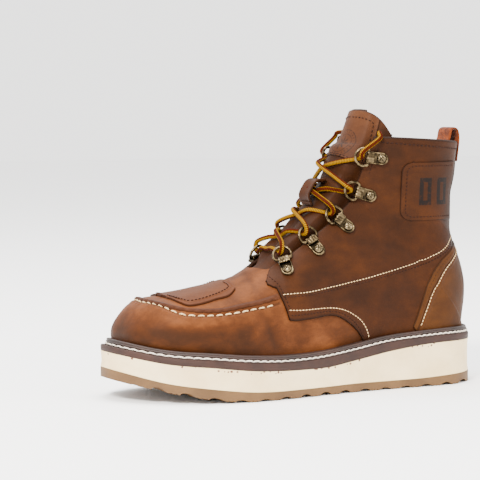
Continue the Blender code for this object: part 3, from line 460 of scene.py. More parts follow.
# Lines drawn on the last
def flow(knots, steps=24):
    """A smooth curve through knots of any width."""
    k = np.asarray(knots, float)
    k = np.vstack([2 * k[0] - k[1], k, 2 * k[-1] - k[-2]])
    out = []
    for n in range(1, len(k) - 2):
        a, b, c, d = k[n - 1:n + 3]
        s = np.linspace(0, 1, steps, endpoint=False)[:, None]
        out.append(0.5 * (2 * b + (c - a) * s + (2 * a - 5 * b + 4 * c - d) * s ** 2
                          + (3 * b - a - 3 * c + d) * s ** 3))
    return np.vstack(out + [k[-2:-1]])


def even(points, step, extra=None):
    """Points along a line at an even step, with any other columns carried along."""
    run = run_of(points)
    at = np.linspace(0, run[-1], max(int(round(run[-1] / step)), 2) + 1)
    return at_run(at, run, points if extra is None else np.hstack([points, extra])), at


def trace(knots, side, away=0.0, step=0.5 * MM):
    """A line on the last through (t, u) knots: places, ways out and ways along."""
    tu = flow(knots)
    u = np.where(tu[:, 1] > 1, 2 - tu[:, 1], tu[:, 1])
    s = np.where(tu[:, 1] > 1, -side, side)
    p = on_last(tu[:, 0], u, s, away)
    n = facing(tu[:, 0], u, s)
    line = even(p, step, n)[0]
    p = line[:, :3]
    return p, unit(line[:, 3:]), unit(np.gradient(p, axis=0))


def moved(knots, up):
    """Knots at the same sections, moved up them."""
    return tuple((t, u + up) for t, u in knots)


def nearest(lines, spots):
    """Distance from each spot to the nearest of some rows of points, and where on them."""
    points = np.vstack(lines)
    tree = KDTree(len(points))
    for n, p in enumerate(points):
        tree.insert(p, n)
    tree.balance()
    found = [tree.find(s) for s in spots]
    return np.array([f[2] for f in found]), np.array([f[1] for f in found])


WING_LOW = ((8.56, 0.585), (8.66, 0.49), (8.78, 0.40), (8.94, 0.304), (9.8, 0.283), (10.72, 0.272),
            (11.1, 0.245), (11.36, 0.205), (11.62, 0.145), (11.78, 0.08), (11.84, 0.03))
MID_SEAM = ((8.75, 0.500), (9.81, 0.462), (11.0, 0.442), (11.72, 0.429), (12.5, 0.418), (13.03, 0.417),
            (13.66, 0.420), (14.38, 0.426), (15.19, 0.438), (15.56, 0.446),
            (15.75, 0.450), (16.0, 0.458), (16.38, 0.468), (17.03, 0.483), (17.34, 0.471),
            (17.62, 0.458), (17.88, 0.446), (18.06, 0.438), (18.31, 0.425), (18.69, 0.404),
            (19.28, 0.365), (19.97, 0.312), (20.53, 0.258), (20.91, 0.215), (21.4, 0.145),
            (21.8, 0.06))
MOC_STITCH = ((3.14, 0.985), (3.22, 0.88), (3.39, 0.765), (3.64, 0.640), (3.98, 0.520), (4.41, 0.45),
              (4.84, 0.425), (5.38, 0.408), (5.91, 0.408), (6.47, 0.417), (7.0, 0.429),
              (7.53, 0.442), (8.06, 0.446), (8.55, 0.45))

# Soft folds in the leather, a row for each
FOLDS = (
    # sides, depth in mm, width in mm, knots
    ((1, -1), -0.55, 7.0, ((2.4, 0.30), (3.6, 0.27), (5.2, 0.22), (6.8, 0.20))),
    ((1, -1), 0.45, 6.0, ((2.8, 0.52), (4.2, 0.36), (5.8, 0.33), (7.2, 0.34))),
    ((1, -1), -0.70, 5.0, ((7.7, 0.43), (7.95, 0.30), (8.2, 0.16), (8.7, 0.06))),
    ((1, -1), 0.35, 5.0, ((7.1, 0.42), (7.4, 0.28), (7.6, 0.12))),
    ((1, -1), -0.45, 5.0, ((7.65, 0.56), (7.75, 0.72), (7.85, 0.90), (7.9, 0.99))),
    ((1,), -0.40, 6.0, ((9.2, 0.60), (10.6, 0.56), (12.2, 0.50))),
    ((1, -1), -0.60, 5.0, ((12.6, 0.68), (14.2, 0.60), (16.2, 0.53), (18.2, 0.47))),
    ((1, -1), 0.40, 6.0, ((13.4, 0.73), (15.5, 0.65), (17.8, 0.57))),
    ((1,), -0.45, 5.0, ((11.4, 0.66), (12.8, 0.58), (14.3, 0.50))),
    ((1, -1), -0.55, 6.0, ((16.4, 0.72), (18.2, 0.66), (19.6, 0.56), (20.3, 0.40))),
    ((1, -1), 0.40, 7.0, ((19.0, 0.72), (20.6, 0.62), (21.2, 0.45), (21.5, 0.25))),
    ((1, -1), -0.55, 6.0, ((21.0, 0.06), (20.8, 0.20), (20.1, 0.36))),
    ((1, -1), -0.35, 7.0, ((22.6, 0.72), (22.0, 0.64), (21.2, 0.60))),
    ((1,), -0.45, 8.0, ((10.8, 0.36), (12.6, 0.30), (14.6, 0.24))),
    ((1, -1), 0.40, 8.0, ((12.2, 0.16), (13.2, 0.14))),
    ((-1,), -0.50, 6.0, ((9.6, 0.62), (11.0, 0.52), (12.6, 0.42), (13.8, 0.30))),
    ((-1,), -0.40, 7.0, ((15.2, 0.36), (16.6, 0.40), (18.0, 0.36))),
    ((1, -1), 0.30, 9.0, ((17.2, 0.14), (18.9, 0.14), (19.8, 0.06))),
)


def fold_field(spots, sides):
    """Height of the soft folds at each spot, in metres."""
    total = np.zeros(len(spots))
    for which, depth, width, knots in FOLDS:
        for side in which:
            tu = flow(knots, 5)
            line = on_last(tu[:, 0], tu[:, 1], np.full(len(tu), side))
            mine = np.nonzero(sides == side)[0]
            if not len(mine):
                continue
            x = spots[mine]
            best = np.full(len(mine), 1.0)
            where = np.zeros(len(mine))
            for k, (a, b) in enumerate(zip(line, line[1:])):
                way = b - a
                share = np.clip(((x - a) @ way) / (way @ way), 0, 1)
                d = np.linalg.norm(x - a - share[:, None] * way, axis=1)
                closer = d < best
                best = np.where(closer, d, best)
                where = np.where(closer, (k + share) / (len(line) - 1), where)
            fade = np.sin(np.pi * np.clip(where, 0.04, 0.96)) ** 0.6
            total[mine] += depth * MM * fade * np.exp(-(best / (width * MM * 0.6)) ** 2)
    rng = np.random.default_rng(7)
    for size, high in ((0.052, 0.22), (0.031, 0.12), (0.019, 0.05)):
        for _ in range(5):
            way = unit(rng.normal(size=3))
            total += high * MM * 0.45 * np.sin(spots @ way * 2 * np.pi / size + rng.uniform(0, 6.28))
    return total


# Building helpers
def own(name, verts, faces, mat, attrs=None):
    """A smooth mesh that rides on the boot, with fields kept on its points."""
    mesh = bpy.data.meshes.new(name)
    mesh.from_pydata(np.asarray(verts, float).tolist(), [],
                     faces if isinstance(faces, list) else faces.tolist())
    mesh.validate()
    mesh.shade_smooth()
    mesh.materials.append(mat)
    for key, values in (attrs or {}).items():
        field = mesh.attributes.new(key, "FLOAT", "POINT")
        field.data.foreach_set("value", np.asarray(values, np.float32).ravel())
    made = bpy.data.objects.new(name, mesh)
    bpy.context.collection.objects.link(made)
    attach(made, "root")
    return made


def grid_faces(rows, cols, loop_rows=False, loop_cols=False):
    """Quads between the rows and columns of a grid, closed on itself where asked."""
    i = np.arange(rows if loop_rows else rows - 1)
    j = np.arange(cols if loop_cols else cols - 1)
    i, j = np.meshgrid(i, j, indexing="ij")
    i, j = i.ravel(), j.ravel()
    a = i * cols + j
    b = ((i + 1) % rows) * cols + j
    c = ((i + 1) % rows) * cols + (j + 1) % cols
    d = i * cols + (j + 1) % cols
    return np.stack([a, b, c, d], 1)


def oriented(grid, out, faces):
    """Turn the faces of a grid to the side that its ways out point to."""
    flat = grid.reshape(-1, 3)
    f = faces - faces.min()
    some = f[:: max(len(f) // 400, 1)]
    a, b, d = flat[some[:, 0]], flat[some[:, 1]], flat[some[:, 3]]
    way = np.cross(b - a, d - a)
    good = np.einsum("ij,ij->i", way, out.reshape(-1, 3)[some[:, 0]]).sum()
    return faces if good > 0 else faces[:, ::-1]


def roll_edge(grid, out, extra, axis, at_end, radius, turn, steps, drop=0.0):
    """Add rows past one border of a grid, which curl round an edge."""
    g = np.moveaxis(grid, axis, 0)
    n = np.moveaxis(out, axis, 0)
    x = np.moveaxis(extra, axis, 0)
    if at_end:
        g, n, x = g[::-1], n[::-1], x[::-1]
    way = g[0] - g[2]
    way = unit(way - n[0] * np.einsum("ij,ij->i", way, n[0])[:, None])
    more_g, more_n, more_x = [], [], []
    for k in range(1, steps + 1):
        a = turn * k / steps
        more_g.append(g[0] + way * radius * math.sin(a) - n[0] * radius * (1 - math.cos(a)))
        more_n.append(n[0] * math.cos(a) + way * math.sin(a))
        more_x.append(x[0])
    if drop:
        more_g.append(more_g[-1] - n[0] * drop)
        more_n.append(more_n[-1])
        more_x.append(x[0])
    g = np.concatenate([np.array(more_g)[::-1], g])
    n = np.concatenate([np.array(more_n)[::-1], n])
    x = np.concatenate([np.array(more_x)[::-1], x])
    if at_end:
        g, n, x = g[::-1], n[::-1], x[::-1]
    return np.moveaxis(g, 0, axis), np.moveaxis(n, 0, axis), np.moveaxis(x, 0, axis)


def leather_sheet(name, t, u, side, away, mat, seams=(), rolls=(), tone=0.0,
                  shape=None, folds=1.0, own_fields=None):
    """A sheet of leather that lies on the last. rolls: (axis, at_end, radius, turn, drop)."""
    t, u, side = np.broadcast_arrays(np.asarray(t, float), np.asarray(u, float), np.asarray(side))
    base = look(PLACES, t, u, side)
    out = facing(t, u, side)
    flat = base.reshape(-1, 3)
    high = fold_field(flat, side.ravel()) * folds
    away = np.broadcast_to(np.asarray(away, float), t.shape).ravel() + high
    near = np.full(len(flat), 0.02)
    if len(seams):
        near = nearest(seams, flat)[0]
    if shape is not None:
        away = away + shape(flat, t.ravel(), u.ravel(), side.ravel())
    grid = (flat + out.reshape(-1, 3) * away[:, None]).reshape(base.shape)
    fields = {"seam": near, "fold": high, "tone": np.full(len(flat), tone)}
    fields.update(own_fields(flat, t.ravel(), u.ravel(), side.ravel()) if own_fields else {})
    keys = list(fields)
    extra = np.stack([fields[k].reshape(t.shape) for k in keys], -1)
    rim = np.zeros(t.shape)
    extra = np.concatenate([extra, rim[..., None]], -1)
    for axis, at_end, radius, turn, drop in rolls:
        before = grid.shape
        grid, out, extra = roll_edge(grid, out, extra, axis, at_end, radius, turn,
                                     6 if turn > 2 else 4, drop)
        grown = grid.shape[axis] - before[axis]
        spot = [slice(None)] * 3
        spot[axis] = slice(-grown, None) if at_end else slice(0, grown)
        spot[2] = -1
        extra[tuple(spot)] = 1.0
    faces = oriented(grid, out, grid_faces(grid.shape[0], grid.shape[1]))
    attrs = {k: extra[..., n] for n, k in enumerate(keys)}
    attrs["rim"] = extra[..., -1]
    return own(name, grid.reshape(-1, 3), faces, mat, attrs)


def outward(made, sharp, weld=0.0):
    """Turn a mesh's faces outward, and keep edges past an angle in degrees sharp."""
    bm = bmesh.new()
    bm.from_mesh(made.data)
    if weld:
        bmesh.ops.remove_doubles(bm, verts=bm.verts, dist=weld)
    bmesh.ops.recalc_face_normals(bm, faces=bm.faces)
    bm.to_mesh(made.data)
    bm.free()
    made.data.set_sharp_from_angle(angle=math.radians(sharp))


def join(name, pieces, weld=0.02 * MM):
    """One object from several, welded where they meet."""
    bm = bmesh.new()
    for piece in pieces:
        bm.from_mesh(piece.data)
    bmesh.ops.remove_doubles(bm, verts=bm.verts, dist=weld)
    mesh = bpy.data.meshes.new(name)
    bm.to_mesh(mesh)
    bm.free()
    for mat in pieces[0].data.materials:
        mesh.materials.append(mat)
    mesh.shade_smooth()
    for piece in pieces:
        bpy.data.objects.remove(piece, do_unlink=True)
    made = bpy.data.objects.new(name, mesh)
    bpy.context.collection.objects.link(made)
    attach(made, "root")
    return made


# Materials
class Nodes:
    """A short way to write shader nodes, in a new material or in one that is there."""

    def __init__(self, mat):
        self.mat = bpy.data.materials.new(mat) if isinstance(mat, str) else mat
        self.mat.use_nodes = True
        self.tree = self.mat.node_tree
        self.shader = self.tree.nodes["Principled BSDF"]

    def link(self, a, b):
        self.tree.links.new(a, b)

    def put(self, socket, value):
        if isinstance(value, bpy.types.NodeSocket):
            self.link(value, socket)
        else:
            socket.default_value = value

    def attr(self, name):
        node = self.tree.nodes.new("ShaderNodeAttribute")
        node.attribute_name = name
        return node.outputs["Fac"]

    def place(self):
        return self.tree.nodes.new("ShaderNodeTexCoord").outputs["Object"]

    def math(self, kind, a, b=0.0, c=0.0):
        node = self.tree.nodes.new("ShaderNodeMath")
        node.operation = kind
        for n, v in enumerate((a, b, c)):
            self.put(node.inputs[n], v)
        return node.outputs[0]

    def mul(self, a, b):
        return self.math("MULTIPLY", a, b)

    def add(self, a, b):
        return self.math("ADD", a, b)

    def less(self, a, b):
        return self.math("SUBTRACT", a, b)

    def noise(self, scale, detail=3.0, rough=0.55, vector=None, distort=0.0):
        node = self.tree.nodes.new("ShaderNodeTexNoise")
        node.inputs["Scale"].default_value = scale
        node.inputs["Detail"].default_value = detail
        node.inputs["Roughness"].default_value = rough
        node.inputs["Distortion"].default_value = distort
        self.link(vector or self.place(), node.inputs["Vector"])
        return node.outputs["Fac"]

    def cells(self, scale):
        node = self.tree.nodes.new("ShaderNodeTexVoronoi")
        node.inputs["Scale"].default_value = scale
        self.link(self.place(), node.inputs["Vector"])
        return node.outputs["Distance"]

    def scaled(self, x, y, z):
        node = self.tree.nodes.new("ShaderNodeVectorMath")
        node.operation = "MULTIPLY"
        self.link(self.place(), node.inputs[0])
        node.inputs[1].default_value = (x, y, z)
        return node.outputs[0]

    def band(self, value, low, high):
        node = self.tree.nodes.new("ShaderNodeMapRange")
        node.interpolation_type = "SMOOTHSTEP"
        self.link(value, node.inputs["Value"])
        node.inputs["From Min"].default_value = low
        node.inputs["From Max"].default_value = high
        return node.outputs["Result"]

    def mix(self, share, a, b):
        node = self.tree.nodes.new("ShaderNodeMix")
        node.data_type = "RGBA"
        self.put(node.inputs[0], share)
        for n, v in ((6, a), (7, b)):
            self.put(node.inputs[n], v if isinstance(v, bpy.types.NodeSocket) else (*v, 1.0))
        return node.outputs[2]

    def bump(self, height, strength, distance, before=None):
        node = self.tree.nodes.new("ShaderNodeBump")
        node.inputs["Strength"].default_value = strength
        node.inputs["Distance"].default_value = distance
        self.link(height, node.inputs["Height"])
        if before:
            self.link(before, node.inputs["Normal"])
        return node.outputs["Normal"]

    def done(self, colour=None, rough=None, normal=None, **flat):
        if colour is not None:
            self.put(self.shader.inputs["Base Color"], colour if isinstance(
                colour, bpy.types.NodeSocket) else (*colour, 1.0))
        if rough is not None:
            self.put(self.shader.inputs["Roughness"], rough)
        if normal is not None:
            self.link(normal, self.shader.inputs["Normal"])
        for key, value in flat.items():
            self.shader.inputs[key.replace("_", " ")].default_value = value
        return self.mat


def rgb(r, g, b):
    """A colour from 0 to 255 in the renderer's linear numbers."""
    return tuple(((c / 255 + 0.055) / 1.055) ** 2.4 if c > 10 else c / 3294 for c in (r, g, b))


def leather(name, dark, mid, light):
    """Oiled leather: clouds of dark and light, lighter on raised folds and darker in sunk ones as painted
    highlight and shade, darker at seams as painted shade, fine grain.
    """
    n = Nodes(name)
    big = n.noise(21.0, 4.0, 0.55, distort=0.5)
    small = n.noise(85.0, 4.0, 0.62, n.scaled(1.0, 1.0, 1.6), 0.4)
    clouds_and_painted_light = n.add(n.mul(big, 0.64), n.mul(small, 0.36))
    # Painted highlight and shade: lighter where the fold field rises, darker where it sinks.
    clouds_and_painted_light = n.add(clouds_and_painted_light, n.mul(n.attr("fold"), 170.0))
    # The tone field holds each panel's own tone and, on the toe, painted light.
    clouds_and_painted_light = n.add(clouds_and_painted_light, n.attr("tone"))
    colour = n.mix(n.band(clouds_and_painted_light, 0.22, 0.60), dark, mid)
    colour = n.mix(n.mul(n.band(clouds_and_painted_light, 0.46, 0.84), 0.85), colour, light)
    specks = n.band(n.noise(950.0, 3.0, 0.6), 0.40, 0.66)
    colour = n.mix(n.mul(specks, 0.16), colour, dark)
    scuff = n.band(n.noise(300.0, 5.0, 0.7, n.scaled(0.5, 0.8, 1.5), 1.2), 0.63, 0.74)
    colour = n.mix(n.mul(scuff, 0.22), colour, light)
    # Painted shade: darker close to seams, in their grooves and under the lapped edges.
    seam = n.band(n.attr("seam"), 0.0002, 0.0017)
    colour = n.mix(n.mul(n.less(1.0, seam), 0.55), colour,
                   tuple(c * 0.45 for c in dark))
    colour = n.mix(n.mul(n.attr("rim"), 0.75), colour, tuple(c * 0.50 for c in dark))
    grain = n.cells(1500.0)
    fine = n.noise(2600.0, 3.0, 0.6)
    soft = n.noise(420.0, 4.0, 0.6)
    normal = n.bump(soft, 0.16, 0.0006)
    normal = n.bump(grain, 0.14, 0.00022, normal)
    normal = n.bump(fine, 0.15, 0.00018, normal)
    roughness = n.add(0.48, n.mul(n.noise(60.0, 4.0, 0.6), 0.17))
    return n.done(colour, roughness, normal, Specular_IOR_Level=0.07)


DARK, MID, LIGHT = rgb(31, 13, 3), rgb(46, 21, 4), rgb(64, 31, 7)
LEATHER = leather("boot_leather", DARK, MID, LIGHT)
TOE_LEATHER = leather("toe_leather", rgb(42, 21, 7), rgb(68, 34, 11), rgb(110, 62, 29))
COUNTER_LEATHER = leather("counter_leather", rgb(40, 20, 5), rgb(58, 31, 8), rgb(76, 43, 12))
PATCH_LEATHER = leather("patch_leather", rgb(58, 28, 11), rgb(76, 40, 17), rgb(92, 51, 24))
RIDGE_LEATHER = leather("ridge_leather", rgb(44, 22, 11), rgb(66, 35, 18), rgb(90, 52, 28))


def thread(name, colour, dull):
    """Twisted thread, duller in patches."""
    n = Nodes(name)
    wave = n.noise(1500.0, 2.0, 0.5)
    tint = n.mix(n.band(wave, 0.35, 0.7), dull, colour)
    return n.done(tint, 0.7, n.bump(n.noise(4200.0, 2.0), 0.3, 0.0001), Specular_IOR_Level=0.1)


WHITE_THREAD = thread("white_thread", rgb(214, 184, 140), rgb(172, 138, 98))
WELT_THREAD = thread("welt_thread", rgb(232, 222, 208), rgb(176, 160, 144))
BROWN_THREAD = thread("brown_thread", rgb(38, 16, 8), rgb(24, 10, 5))


def rubber(name, colour, dull, scale, rough, bump, gloss):
    """Plain rubber with faint clouds and a fine grain."""
    n = Nodes(name)
    tint = n.mix(n.band(n.noise(scale, 4.0, 0.6, distort=0.3), 0.32, 0.68), dull, colour)
    tint = n.mix(n.mul(n.band(n.noise(1400.0, 2.0), 0.45, 0.62), 0.18), tint, dull)
    normal = n.bump(n.noise(1400.0, 4.0, 0.65), bump, 0.0002)
    roughness = n.add(rough - 0.05, n.mul(n.noise(scale * 2.5, 3.0), 0.10))
    return n.done(tint, roughness, normal, Specular_IOR_Level=gloss)


WELT_MAT = rubber("welt_rubber", rgb(46, 25, 16), rgb(28, 15, 10), 45, 0.58, 0.2, 0.4)
STRIP_MAT = rubber("strip_rubber", rgb(48, 26, 18), rgb(36, 19, 13), 50, 0.72, 0.3, 0.3)
GUM_MAT = rubber("gum_sole", rgb(98, 70, 38), rgb(82, 57, 30), 30, 0.66, 0.35, 0.3)

n = Nodes("cream_foam")
tint = n.mix(n.band(n.noise(26.0, 4.0, 0.6), 0.3, 0.7), rgb(220, 192, 142), rgb(236, 212, 164))
line = n.noise(600.0, 2.0, 0.5, n.scaled(0.05, 0.05, 1.0))
tint = n.mix(n.mul(n.band(line, 0.5, 0.75), 0.10), tint, rgb(205, 186, 155))
chips = n.cells(330.0)
where = n.band(n.noise(60.0, 2.0), 0.42, 0.60)
high = n.band(n.attr("top"), 0.0034, 0.0008)
size = n.mul(n.mul(where, high), 0.42)
chip = n.math("LESS_THAN", chips, size)
tint = n.mix(chip, tint, rgb(96, 58, 44))
normal = n.bump(n.noise(1300.0, 4.0, 0.7), 0.3, 0.0002)
normal = n.bump(chip, -0.4, 0.0003, normal)
FOAM_MAT = n.done(tint, 0.62, normal, Specular_IOR_Level=0.28)

n = Nodes("suede")
tint = n.mix(n.band(n.noise(240.0, 5.0, 0.65), 0.35, 0.68), rgb(68, 26, 4), rgb(110, 48, 10))
SUEDE_MAT = n.done(tint, 0.92, n.bump(n.noise(2600.0, 5.0, 0.75), 0.6, 0.0004), Sheen_Weight=0.1,
                   Sheen_Roughness=0.4, Specular_IOR_Level=0.15)

n = Nodes("herringbone_lining")
along, up = n.attr("along"), n.attr("up")
turn = n.math("PINGPONG", n.math("DIVIDE", along, 0.0042), 1.0)
slant = n.add(n.math("DIVIDE", up, 0.0017), n.mul(turn, 2.4))
stripe = n.band(n.math("PINGPONG", slant, 0.5), 0.20, 0.30)
wool = n.noise(1800.0, 3.0, 0.7)
tint = n.mix(stripe, rgb(34, 32, 32), rgb(206, 200, 192))
tint = n.mix(n.mul(wool, 0.35), tint, rgb(110, 104, 100))
LINING_MAT = n.done(tint, 0.92, n.bump(n.add(stripe, wool), 0.5, 0.0003), Sheen_Weight=0.4,
                    Specular_IOR_Level=0.15)

n = Nodes("footbed_cloth")
wool = n.noise(1500.0, 3.0, 0.7)
tint = n.mix(wool, rgb(60, 56, 54), rgb(150, 144, 138))
FOOTBED_MAT = n.done(tint, 0.95, n.bump(wool, 0.5, 0.0003), Sheen_Weight=0.3)

n = Nodes("aged_metal")
tint = n.mix(n.band(n.noise(260.0, 4.0, 0.6), 0.40, 0.64), rgb(48, 39, 26), rgb(108, 92, 66))
tint = n.mix(n.mul(n.attr("rim"), 0.9), tint, rgb(26, 20, 13))
METAL_MAT = n.done(tint, n.add(0.22, n.mul(n.noise(420.0, 3.0), 0.22)),
                   n.bump(n.noise(1200.0, 3.0), 0.10, 0.0001), Metallic=1.0)
n = Nodes("bright_rivet")
tint = n.mix(n.band(n.noise(300.0, 3.0), 0.4, 0.65), rgb(70, 60, 44), rgb(122, 106, 78))
tint = n.mix(n.mul(n.attr("rim"), 0.9), tint, rgb(40, 34, 26))
RIVET_MAT = n.done(tint, 0.26, n.bump(n.noise(900.0, 3.0), 0.08, 0.0001), Metallic=1.0)

n = Nodes("two_tone_cord")
angle = n.math("ARCTAN2", n.attr("sn"), n.attr("cs"))
twice = n.math("COSINE", n.add(n.mul(angle, 2.0), 0.9))
half = n.band(n.add(twice, n.mul(n.noise(700.0, 2.0), 0.5)), -0.05, 0.15)
rib = n.math("SINE", n.add(n.mul(n.attr("run"), 5200.0),
                            n.mul(angle, 2.0)))
# Painted shade: each colour darker in the grooves between the ribs, lighter on the ribs.
yellow = n.mix(n.band(rib, -0.9, 0.5), rgb(72, 48, 0), rgb(122, 86, 0))
brown = n.mix(n.band(rib, -0.9, 0.5), rgb(32, 7, 1), rgb(62, 16, 1))
CORD_MAT = n.done(n.mix(half, brown, yellow), 0.85,
                  n.bump(n.add(rib, n.noise(3200.0, 2.0)), 0.35, 0.0003),
                  Specular_IOR_Level=0.05)

# Camera, floor and light
camera = bpy.data.cameras.new("camera")
camera.sensor_width = 36
camera.lens = 147.2
camera.clip_start = 0.05
camera.clip_end = 30
eye = bpy.data.objects.new("camera", camera)
bpy.context.collection.objects.link(eye)
PITCH = math.radians(3.679)
eye.location = (0.6940, 1.3278, 0.2100)
ahead = Vector((-0.43891 * math.cos(PITCH), -0.89853 * math.cos(PITCH), -math.sin(PITCH)))
eye.rotation_euler = ahead.to_track_quat("-Z", "Y").to_euler()
bpy.context.scene.camera = eye

bpy.ops.mesh.primitive_plane_add(size=14, location=(0, 0, -0.0002))
floor = bpy.context.object
floor.name = "floor"
white = Nodes("pale_floor")
floor.data.materials.append(white.done((0.95, 0.95, 0.95), 0.9, Specular_IOR_Level=0.1))
floor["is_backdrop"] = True

world = bpy.data.worlds.new("studio")
bpy.context.scene.world = world
world.use_nodes = True
world.node_tree.nodes["Background"].inputs["Color"].default_value = (1.0, 0.99, 0.975, 1)
world.node_tree.nodes["Background"].inputs["Strength"].default_value = 2.6


def lamp(name, place, aim, size, power, colour=(1, 1, 1)):
    """A round soft light aimed at a place."""
    light = bpy.data.lights.new(name, "AREA")
    light.shape = "DISK"
    light.size = size
    light.energy = power
    light.color = colour
    made = bpy.data.objects.new(name, light)
    made.location = place
    made.rotation_euler = (Vector(aim) - Vector(place)).to_track_quat("-Z", "Y").to_euler()
    bpy.context.collection.objects.link(made)


lamp("key", (1.5, 1.3, 1.7), (0, 0, 0.08), 0.7, 150, (1.0, 0.96, 0.90))
lamp("side", (-1.4, 1.5, 1.0), (0, 0, 0.1), 1.2, 22)
lamp("top", (0.1, -0.3, 2.2), (0, 0, 0.1), 1.3, 75)

# Upper
t_all = np.unique(np.round(np.concatenate([
    np.linspace(0, 1.2, 26), np.linspace(1.2, 8.24, 104), np.linspace(8.24, 8.7, 16),
    np.linspace(8.7, 25, 120)]), 4))
MOC_BOTH = [trace(MOC_STITCH, side)[0] for side in (1, -1)]


def toe_painted_light(spots, t):
    """Painted light: lighter over the toe's crown and the plug, as if lit from above, darker down the sides."""
    crown = ramp((spots[:, 2] - 0.046) / 0.024)
    front = np.clip((9.0 - t) / 3.0, 0, 1)
    return (0.36 * crown - 0.16) * front


def toe_shape(spots, t, u, side):
    """The seam's groove and the gathered edge under it."""
    d, k = nearest(MOC_BOTH, spots)
    run = np.arange(sum(len(line) for line in MOC_BOTH)) * 0.5 * MM
    wave = np.cos(2 * np.pi * run[k] / STITCH_PITCH)
    below = (u < edge(MOC_STITCH, np.clip(t, 3.28, 8.55))) | (t < 3.28)
    high = -0.75 * MM * np.exp(-(d / (1.1 * MM)) ** 2)
    gathers = (0.40 + 0.20 * wave) * MM * np.exp(-((d - 2.6 * MM) / (2.0 * MM)) ** 2)
    high += np.where(below, gathers, 0)
    return high * np.clip((8.75 - t) / 0.2, 0, 1)


shell = []
cols = np.linspace(0, 1, 92)
for side in (1, -1):
    t = np.repeat(t_all[:, None], len(cols), 1)
    u = throat(t) * cols[None, :]
    away = np.where(t > 8.9, -0.0002, 0.0)
    # The toe's tone field carries painted light: lighter on its crown, darker down its sides.
    shell.append(leather_sheet("shell", t, u, side, away, TOE_LEATHER, [*MOC_BOTH], shape=toe_shape,
                               own_fields=lambda f, a, b, c: {"tone": toe_painted_light(f, a)}))
upper = join("upper_skin", shell)
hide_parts("upper")


def lining(name, t, u, side, away, replaced):
    """Woven cloth that faces into the boot."""
    t, u, side = np.broadcast_arrays(np.asarray(t, float), np.asarray(u, float), np.asarray(side))
    grid = on_last(t, u, side, away)
    flat = grid.reshape(-1, 3)
    along = (u * girth(t) * side).ravel()
    faces = oriented(grid, -facing(t, u, side), grid_faces(*t.shape))
    made = own(name, flat, faces, LINING_MAT, {"along": along, "up": flat[:, 2]})
    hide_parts(replaced)
    return made


inner = np.linspace(0.02, 24.99, 150)
cols = np.linspace(0, 1, 44)
for side, flank in FLANKS:
    t = np.repeat(inner[:, None], len(cols), 1)
    lining("lining_" + flank, t, throat(t) * cols[None, :], side,
           -WALL - 0.0002 - 0.0014 * np.clip((t - 24.2) / 0.4, 0, 1), "upper")


def eased(low, high, count):
    """Columns between two shares, closer together at both ends."""
    s = np.linspace(0, 1, count)
    s = s - 0.12 * np.sin(4 * np.pi * s) / (4 * np.pi) - 0.55 * np.sin(2 * np.pi * s) / (2 * np.pi)
    return low[:, None] + (high - low)[:, None] * s[None, :]


STAY_SHARE = 0.085


def quarter_border(t, side):
    """Lower and upper edge of a quarter, as shares up each section."""
    high = throat(t) - 0.001
    foot = np.array([above_bed(v, side, 0.003) if v < 18 else 0.0 for v in t])
    high = np.where(t < 9.2, np.minimum(high, edge(WING, t, 2)), high)
    start = smooth((8.30, 8.42, 8.56), (0.640, 0.610, 0.585), t)
    low = np.where(t < 8.56, start, np.where(t < WING_LOW[-1][0], smooth(
        column(WING_LOW, 0), column(WING_LOW, 1), t), foot))
    low = np.maximum(low, foot)
    behind = np.maximum(edge(COUNTER, t) - 0.035, foot)
    low = np.where(t > 13.8, np.where(t < 21.2, np.maximum(behind, foot), 0.0), low)
    return low, high


for side, flank in FLANKS:
    rows = np.concatenate([np.linspace(8.30, 8.98, 46), np.linspace(9.02, 12.0, 74),
                           np.linspace(12.05, 25.0, 190)])
    low, high = quarter_border(rows, side)
    u = eased(low, high, 96)
    t = np.repeat(rows[:, None], u.shape[1], 1)
    mid_p, mid_n, mid_w = trace(MID_SEAM, side)

    def step(spots, tt, uu, ss):
        """The upper part laps over the lower one at the middle seam."""
        d, k = nearest([mid_p], spots)
        up = np.cross(mid_n[k], mid_w[k])
        inside = np.clip((tt - 8.75) / 0.2, 0, 1) * np.clip((21.7 - tt) / 0.4, 0, 1)
        across = np.einsum("ij,ij->i", spots - mid_p[k], up)
        across = across * np.sign(up[:, 2] + 1e-9)
        high = 0.55 * MM * np.clip((across + 2.6 * MM) / (0.9 * MM), 0, 1) * inside
        high -= 0.28 * MM * np.exp(-(d / (0.8 * MM)) ** 2) * inside
        return high

    piece = leather_sheet(
        "quarter_panel_" + flank, t, u, side, LAID - 0.0002, LEATHER, [mid_p, trace(WING_LOW, side)[0]],
        rolls=((1, True, 0.0019, 3.0, 0.0), (1, False, 0.0009, 1.5, 0.0008),
               (0, False, 0.0009, 1.5, 0.0008), (0, True, 0.0021, 3.1, 0.0)),
        shape=step)
    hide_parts("quarter_" + flank)

# Counter, wrapped round the heel from one side to the other
rows = np.concatenate([np.linspace(13.62, 18.0, 90), np.linspace(18.03, 21.2, 110)])
s = np.linspace(0, 1, 56)
parts = []
for side in (1, -1):
    foot = np.array([above_bed(v, side, 0.0035) if v < 18 else 0.0 for v in rows])
    top = np.maximum(edge(COUNTER, rows), foot + 0.008)
    u = foot[:, None] + (top - foot)[:, None] * (s + 0.25 * np.sin(np.pi * s) / np.pi * (1 - s))
    t = np.repeat(rows[:, None], u.shape[1], 1)
    piping = trace(moved(COUNTER, -0.035), side)[0]

    def puff(spots, tt, uu, ss):
        """A padded edge with a groove behind it."""
        d = nearest([piping], spots)[0]
        return 0.45 * MM * np.exp(-((d - 2.4 * MM) / (1.5 * MM)) ** 2) - 0.35 * MM * np.exp(
            -(d / (0.9 * MM)) ** 2) * np.clip((21.0 - tt) / 0.4, 0, 1)

    parts.append(leather_sheet(
        "counter_part", t, u, side, LAID + 0.0007, COUNTER_LEATHER, [piping],
        rolls=((1, True, 0.0010, 1.5, 0.0014), (0, False, 0.0006, 1.5, 0.0010),
               (0, True, 0.0008, 1.5, 0.0010)), shape=puff, tone=0.02))
counter = join("heel_counter", parts)
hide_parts("counter")

